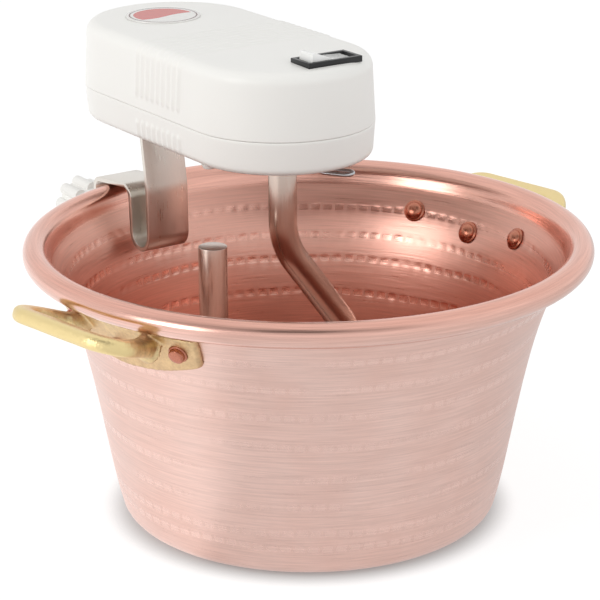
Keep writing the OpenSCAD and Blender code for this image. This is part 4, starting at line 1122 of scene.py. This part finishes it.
class POLENTA_OT_stage(bpy.types.Operator):
    """Sets up the camera, the pale floor and the soft light"""

    bl_idname = "polenta.stage"
    bl_label = "Camera, floor and light"

    def execute(self, context):
        scene = context.scene
        data = bpy.data.cameras.new("camera")
        data.lens = 144
        data.sensor_width = 36
        data.clip_end = 20
        camera = bpy.data.objects.new("camera", data)
        turn = Matrix((CAMERA_RIGHT, CAMERA_UP, CAMERA_BACK)).transposed().to_4x4()
        camera.matrix_world = Matrix.Translation(CAMERA_PLACE) @ turn
        scene.collection.objects.link(camera)
        scene.camera = camera
        clear_selection()
        bpy.ops.mesh.primitive_plane_add(size=12, location=(0, 0, -0.0002))
        floor = context.object
        floor.name = "floor"
        floor.data.materials.append(self.paper())
        key = MIDDLE - CAMERA_RIGHT * 1.3 + CAMERA_UP * 0.5 + CAMERA_BACK * 0.8
        fill = MIDDLE + CAMERA_RIGHT * 1.3 + CAMERA_UP * 0.4 + CAMERA_BACK * 0.9
        soft_lamp("key", key, MIDDLE, (1.1, 1.1), 9, (1.0, 0.99, 0.975))
        soft_lamp("fill", fill, MIDDLE, (1.2, 1.2), 5, (0.98, 0.99, 1.0))
        self.sky(scene)
        scene.view_settings.view_transform = "Standard"
        return {"FINISHED"}

    def paper(self):
        """White paper: matt where it lights the pot, and glowing to the camera and to gloss."""
        material, tree = new_material("white paper")
        where = add(tree, "TexCoord")
        fibre = add(tree, "TexNoise", {"Vector": where.outputs["Object"], "Scale": 900.0, "Detail": 2.0})
        tone = add(tree, "Mix", {0: fibre.outputs["Fac"], 6: (0.80, 0.80, 0.80), 7: (0.82, 0.82, 0.82)},
                   data_type="RGBA")
        matt = add(tree, "BsdfDiffuse", {"Color": tone.outputs[2]})
        pale = add(tree, "BsdfDiffuse", {"Color": (0.36, 0.36, 0.36)})
        strength = self.floor_glow(tree, where)
        glow = add(tree, "Emission", {"Color": (1.0, 1.0, 1.0), "Strength": strength})
        shown = add(tree, "AddShader", {0: pale.outputs[0], 1: glow.outputs[0]})
        path = add(tree, "LightPath")
        seen = add(tree, "Math", {0: path.outputs["Is Camera Ray"], 1: path.outputs["Is Glossy Ray"]},
                   operation="MAXIMUM")
        seen = add(tree, "Math", {0: seen.outputs[0], 1: path.outputs["Is Transmission Ray"]},
                   operation="MAXIMUM")
        both = add(tree, "MixShader", {0: seen.outputs[0], 1: matt.outputs[0], 2: shown.outputs[0]})
        surface(tree, both)
        return material

    def floor_glow(self, tree, where):
        """The floor's own light: to the camera a painted shadow at the foot, to gloss paler on the
        window side.
        """
        outwards = add(tree, "VectorMath", {0: where.outputs["Object"]}, operation="NORMALIZE")
        window = add(tree, "VectorMath", {0: outwards.outputs[0], 1: WINDOW_SIDE},
                     operation="DOT_PRODUCT")
        window = add(tree, "MapRange", {"Value": window.outputs["Value"], "From Min": 0.05,
                                        "From Max": 0.26, "To Min": 0.57, "To Max": 0.86},
                     interpolation_type="SMOOTHSTEP")
        # the glow is dimmed close to the foot, a painted shadow, so the pot stands in a soft dark line
        reach = add(tree, "VectorMath", {0: where.outputs["Object"]}, operation="LENGTH")
        glow_with_painted_foot_shadow = add(tree, "MapRange", {"Value": reach.outputs["Value"], "From Min": 0.087,
                                            "From Max": 0.107, "To Min": 0.2, "To Max": 0.77},
                         interpolation_type="SMOOTHSTEP")
        path = add(tree, "LightPath")
        shown = add(tree, "Mix", {0: path.outputs["Is Glossy Ray"], 2: glow_with_painted_foot_shadow.outputs[0],
                                  3: window.outputs[0]}, data_type="FLOAT")
        return shown.outputs[0]

    def sky(self, scene):
        """White studio with a darker ceiling and one soft box, as the polished metal shows it."""
        world = bpy.data.worlds.new("studio")
        world.use_nodes = True
        tree = world.node_tree
        tree.nodes.clear()
        where = add(tree, "TexCoord")
        axes = add(tree, "SeparateXYZ", {"Vector": where.outputs["Generated"]})
        overhead = add(tree, "MapRange", {"Value": axes.outputs[2], "From Min": 0.3, "From Max": 0.8,
                                          "To Max": 0.5}, interpolation_type="SMOOTHSTEP")
        front = add(tree, "VectorMath", {0: where.outputs["Generated"], 1: DARK_SIDE},
                    operation="DOT_PRODUCT")
        front = add(tree, "MapRange", {"Value": front.outputs["Value"], "From Min": 0.1,
                                       "From Max": 0.6}, interpolation_type="SMOOTHSTEP")
        shade = add(tree, "Math", {0: overhead.outputs[0], 1: front.outputs[0]}, operation="MULTIPLY")
        ceiling = add(tree, "Math", {0: 1.0, 1: shade.outputs[0]}, operation="SUBTRACT")
        towards_box = add(tree, "VectorMath", {0: where.outputs["Generated"], 1: SOFT_BOX},
                          operation="DOT_PRODUCT")
        box = add(tree, "MapRange", {"Value": towards_box.outputs["Value"], "From Min": 0.955,
                                     "From Max": 0.99, "To Max": 3.2}, interpolation_type="SMOOTHSTEP")
        towards_gap = add(tree, "VectorMath", {0: where.outputs["Generated"], 1: DARK_GAP},
                          operation="DOT_PRODUCT")
        gap = add(tree, "MapRange", {"Value": towards_gap.outputs["Value"], "From Min": 0.95,
                                     "From Max": 0.99, "To Max": -0.3}, interpolation_type="SMOOTHSTEP")
        lit = add(tree, "Math", {0: ceiling.outputs[0], 1: box.outputs[0]}, operation="ADD")
        lit = add(tree, "Math", {0: lit.outputs[0], 1: gap.outputs[0]}, operation="ADD")
        path = add(tree, "LightPath")
        power = add(tree, "Mix", {0: path.outputs["Is Glossy Ray"], 2: 0.66, 3: lit.outputs[0]},
                    data_type="FLOAT")
        seen = add(tree, "Math", {0: path.outputs["Is Camera Ray"],
                                  1: path.outputs["Is Transmission Ray"]}, operation="MAXIMUM")
        power = add(tree, "Mix", {0: seen.outputs[0], 2: power.outputs[0], 3: 1.0}, data_type="FLOAT")
        back = add(tree, "Background", {"Color": (1.0, 1.0, 1.0), "Strength": power.outputs[0]})
        add(tree, "OutputWorld", {"Surface": back.outputs[0]})
        scene.world = world


class POLENTA_PT_panel(bpy.types.Panel):
    """Lists the pieces that the add-on makes"""

    bl_label = "Polenta pot"
    bl_idname = "POLENTA_PT_panel"
    bl_space_type = "VIEW_3D"
    bl_region_type = "UI"
    bl_category = "Polenta pot"

    def draw(self, context):
        column = self.layout.column(align=True)
        for operator in OPERATORS:
            column.operator(operator.bl_idname)
        for group in (context.scene.polenta_pot_sizes, context.scene.polenta_housing_sizes,
                      context.scene.polenta_finishes):
            box = self.layout.box()
            for name in group.bl_rna.properties.keys():
                if name not in ("rna_type", "name"):
                    box.prop(group, name)


OPERATORS = (POLENTA_OT_stage, POLENTA_OT_pot, POLENTA_OT_rivets, POLENTA_OT_handles,
             POLENTA_OT_housing, POLENTA_OT_switch, POLENTA_OT_badge, POLENTA_OT_stirrer,
             POLENTA_OT_clamp, POLENTA_OT_mechanism)
GROUPS = (PotSizes, HousingSizes, Finishes)


def register():
    """Registers the add-on's classes and property groups."""
    for item in GROUPS + OPERATORS + (POLENTA_PT_panel,):
        bpy.utils.register_class(item)
    bpy.types.Scene.polenta_pot_sizes = PointerProperty(type=PotSizes)
    bpy.types.Scene.polenta_housing_sizes = PointerProperty(type=HousingSizes)
    bpy.types.Scene.polenta_finishes = PointerProperty(type=Finishes)


def unregister():
    """Removes what register added."""
    del bpy.types.Scene.polenta_finishes
    del bpy.types.Scene.polenta_housing_sizes
    del bpy.types.Scene.polenta_pot_sizes
    for item in reversed(GROUPS + OPERATORS + (POLENTA_PT_panel,)):
        bpy.utils.unregister_class(item)


def main():
    """Registers the add-on and makes every piece in order."""
    register()
    bpy.ops.polenta.stage()
    bpy.ops.polenta.pot()
    bpy.ops.polenta.rivets()
    bpy.ops.polenta.handles()
    bpy.ops.polenta.housing()
    bpy.ops.polenta.switch()
    bpy.ops.polenta.badge()
    bpy.ops.polenta.stirrer()
    bpy.ops.polenta.clamp()
    bpy.ops.polenta.mechanism()


if __name__ == "__main__":
    main()
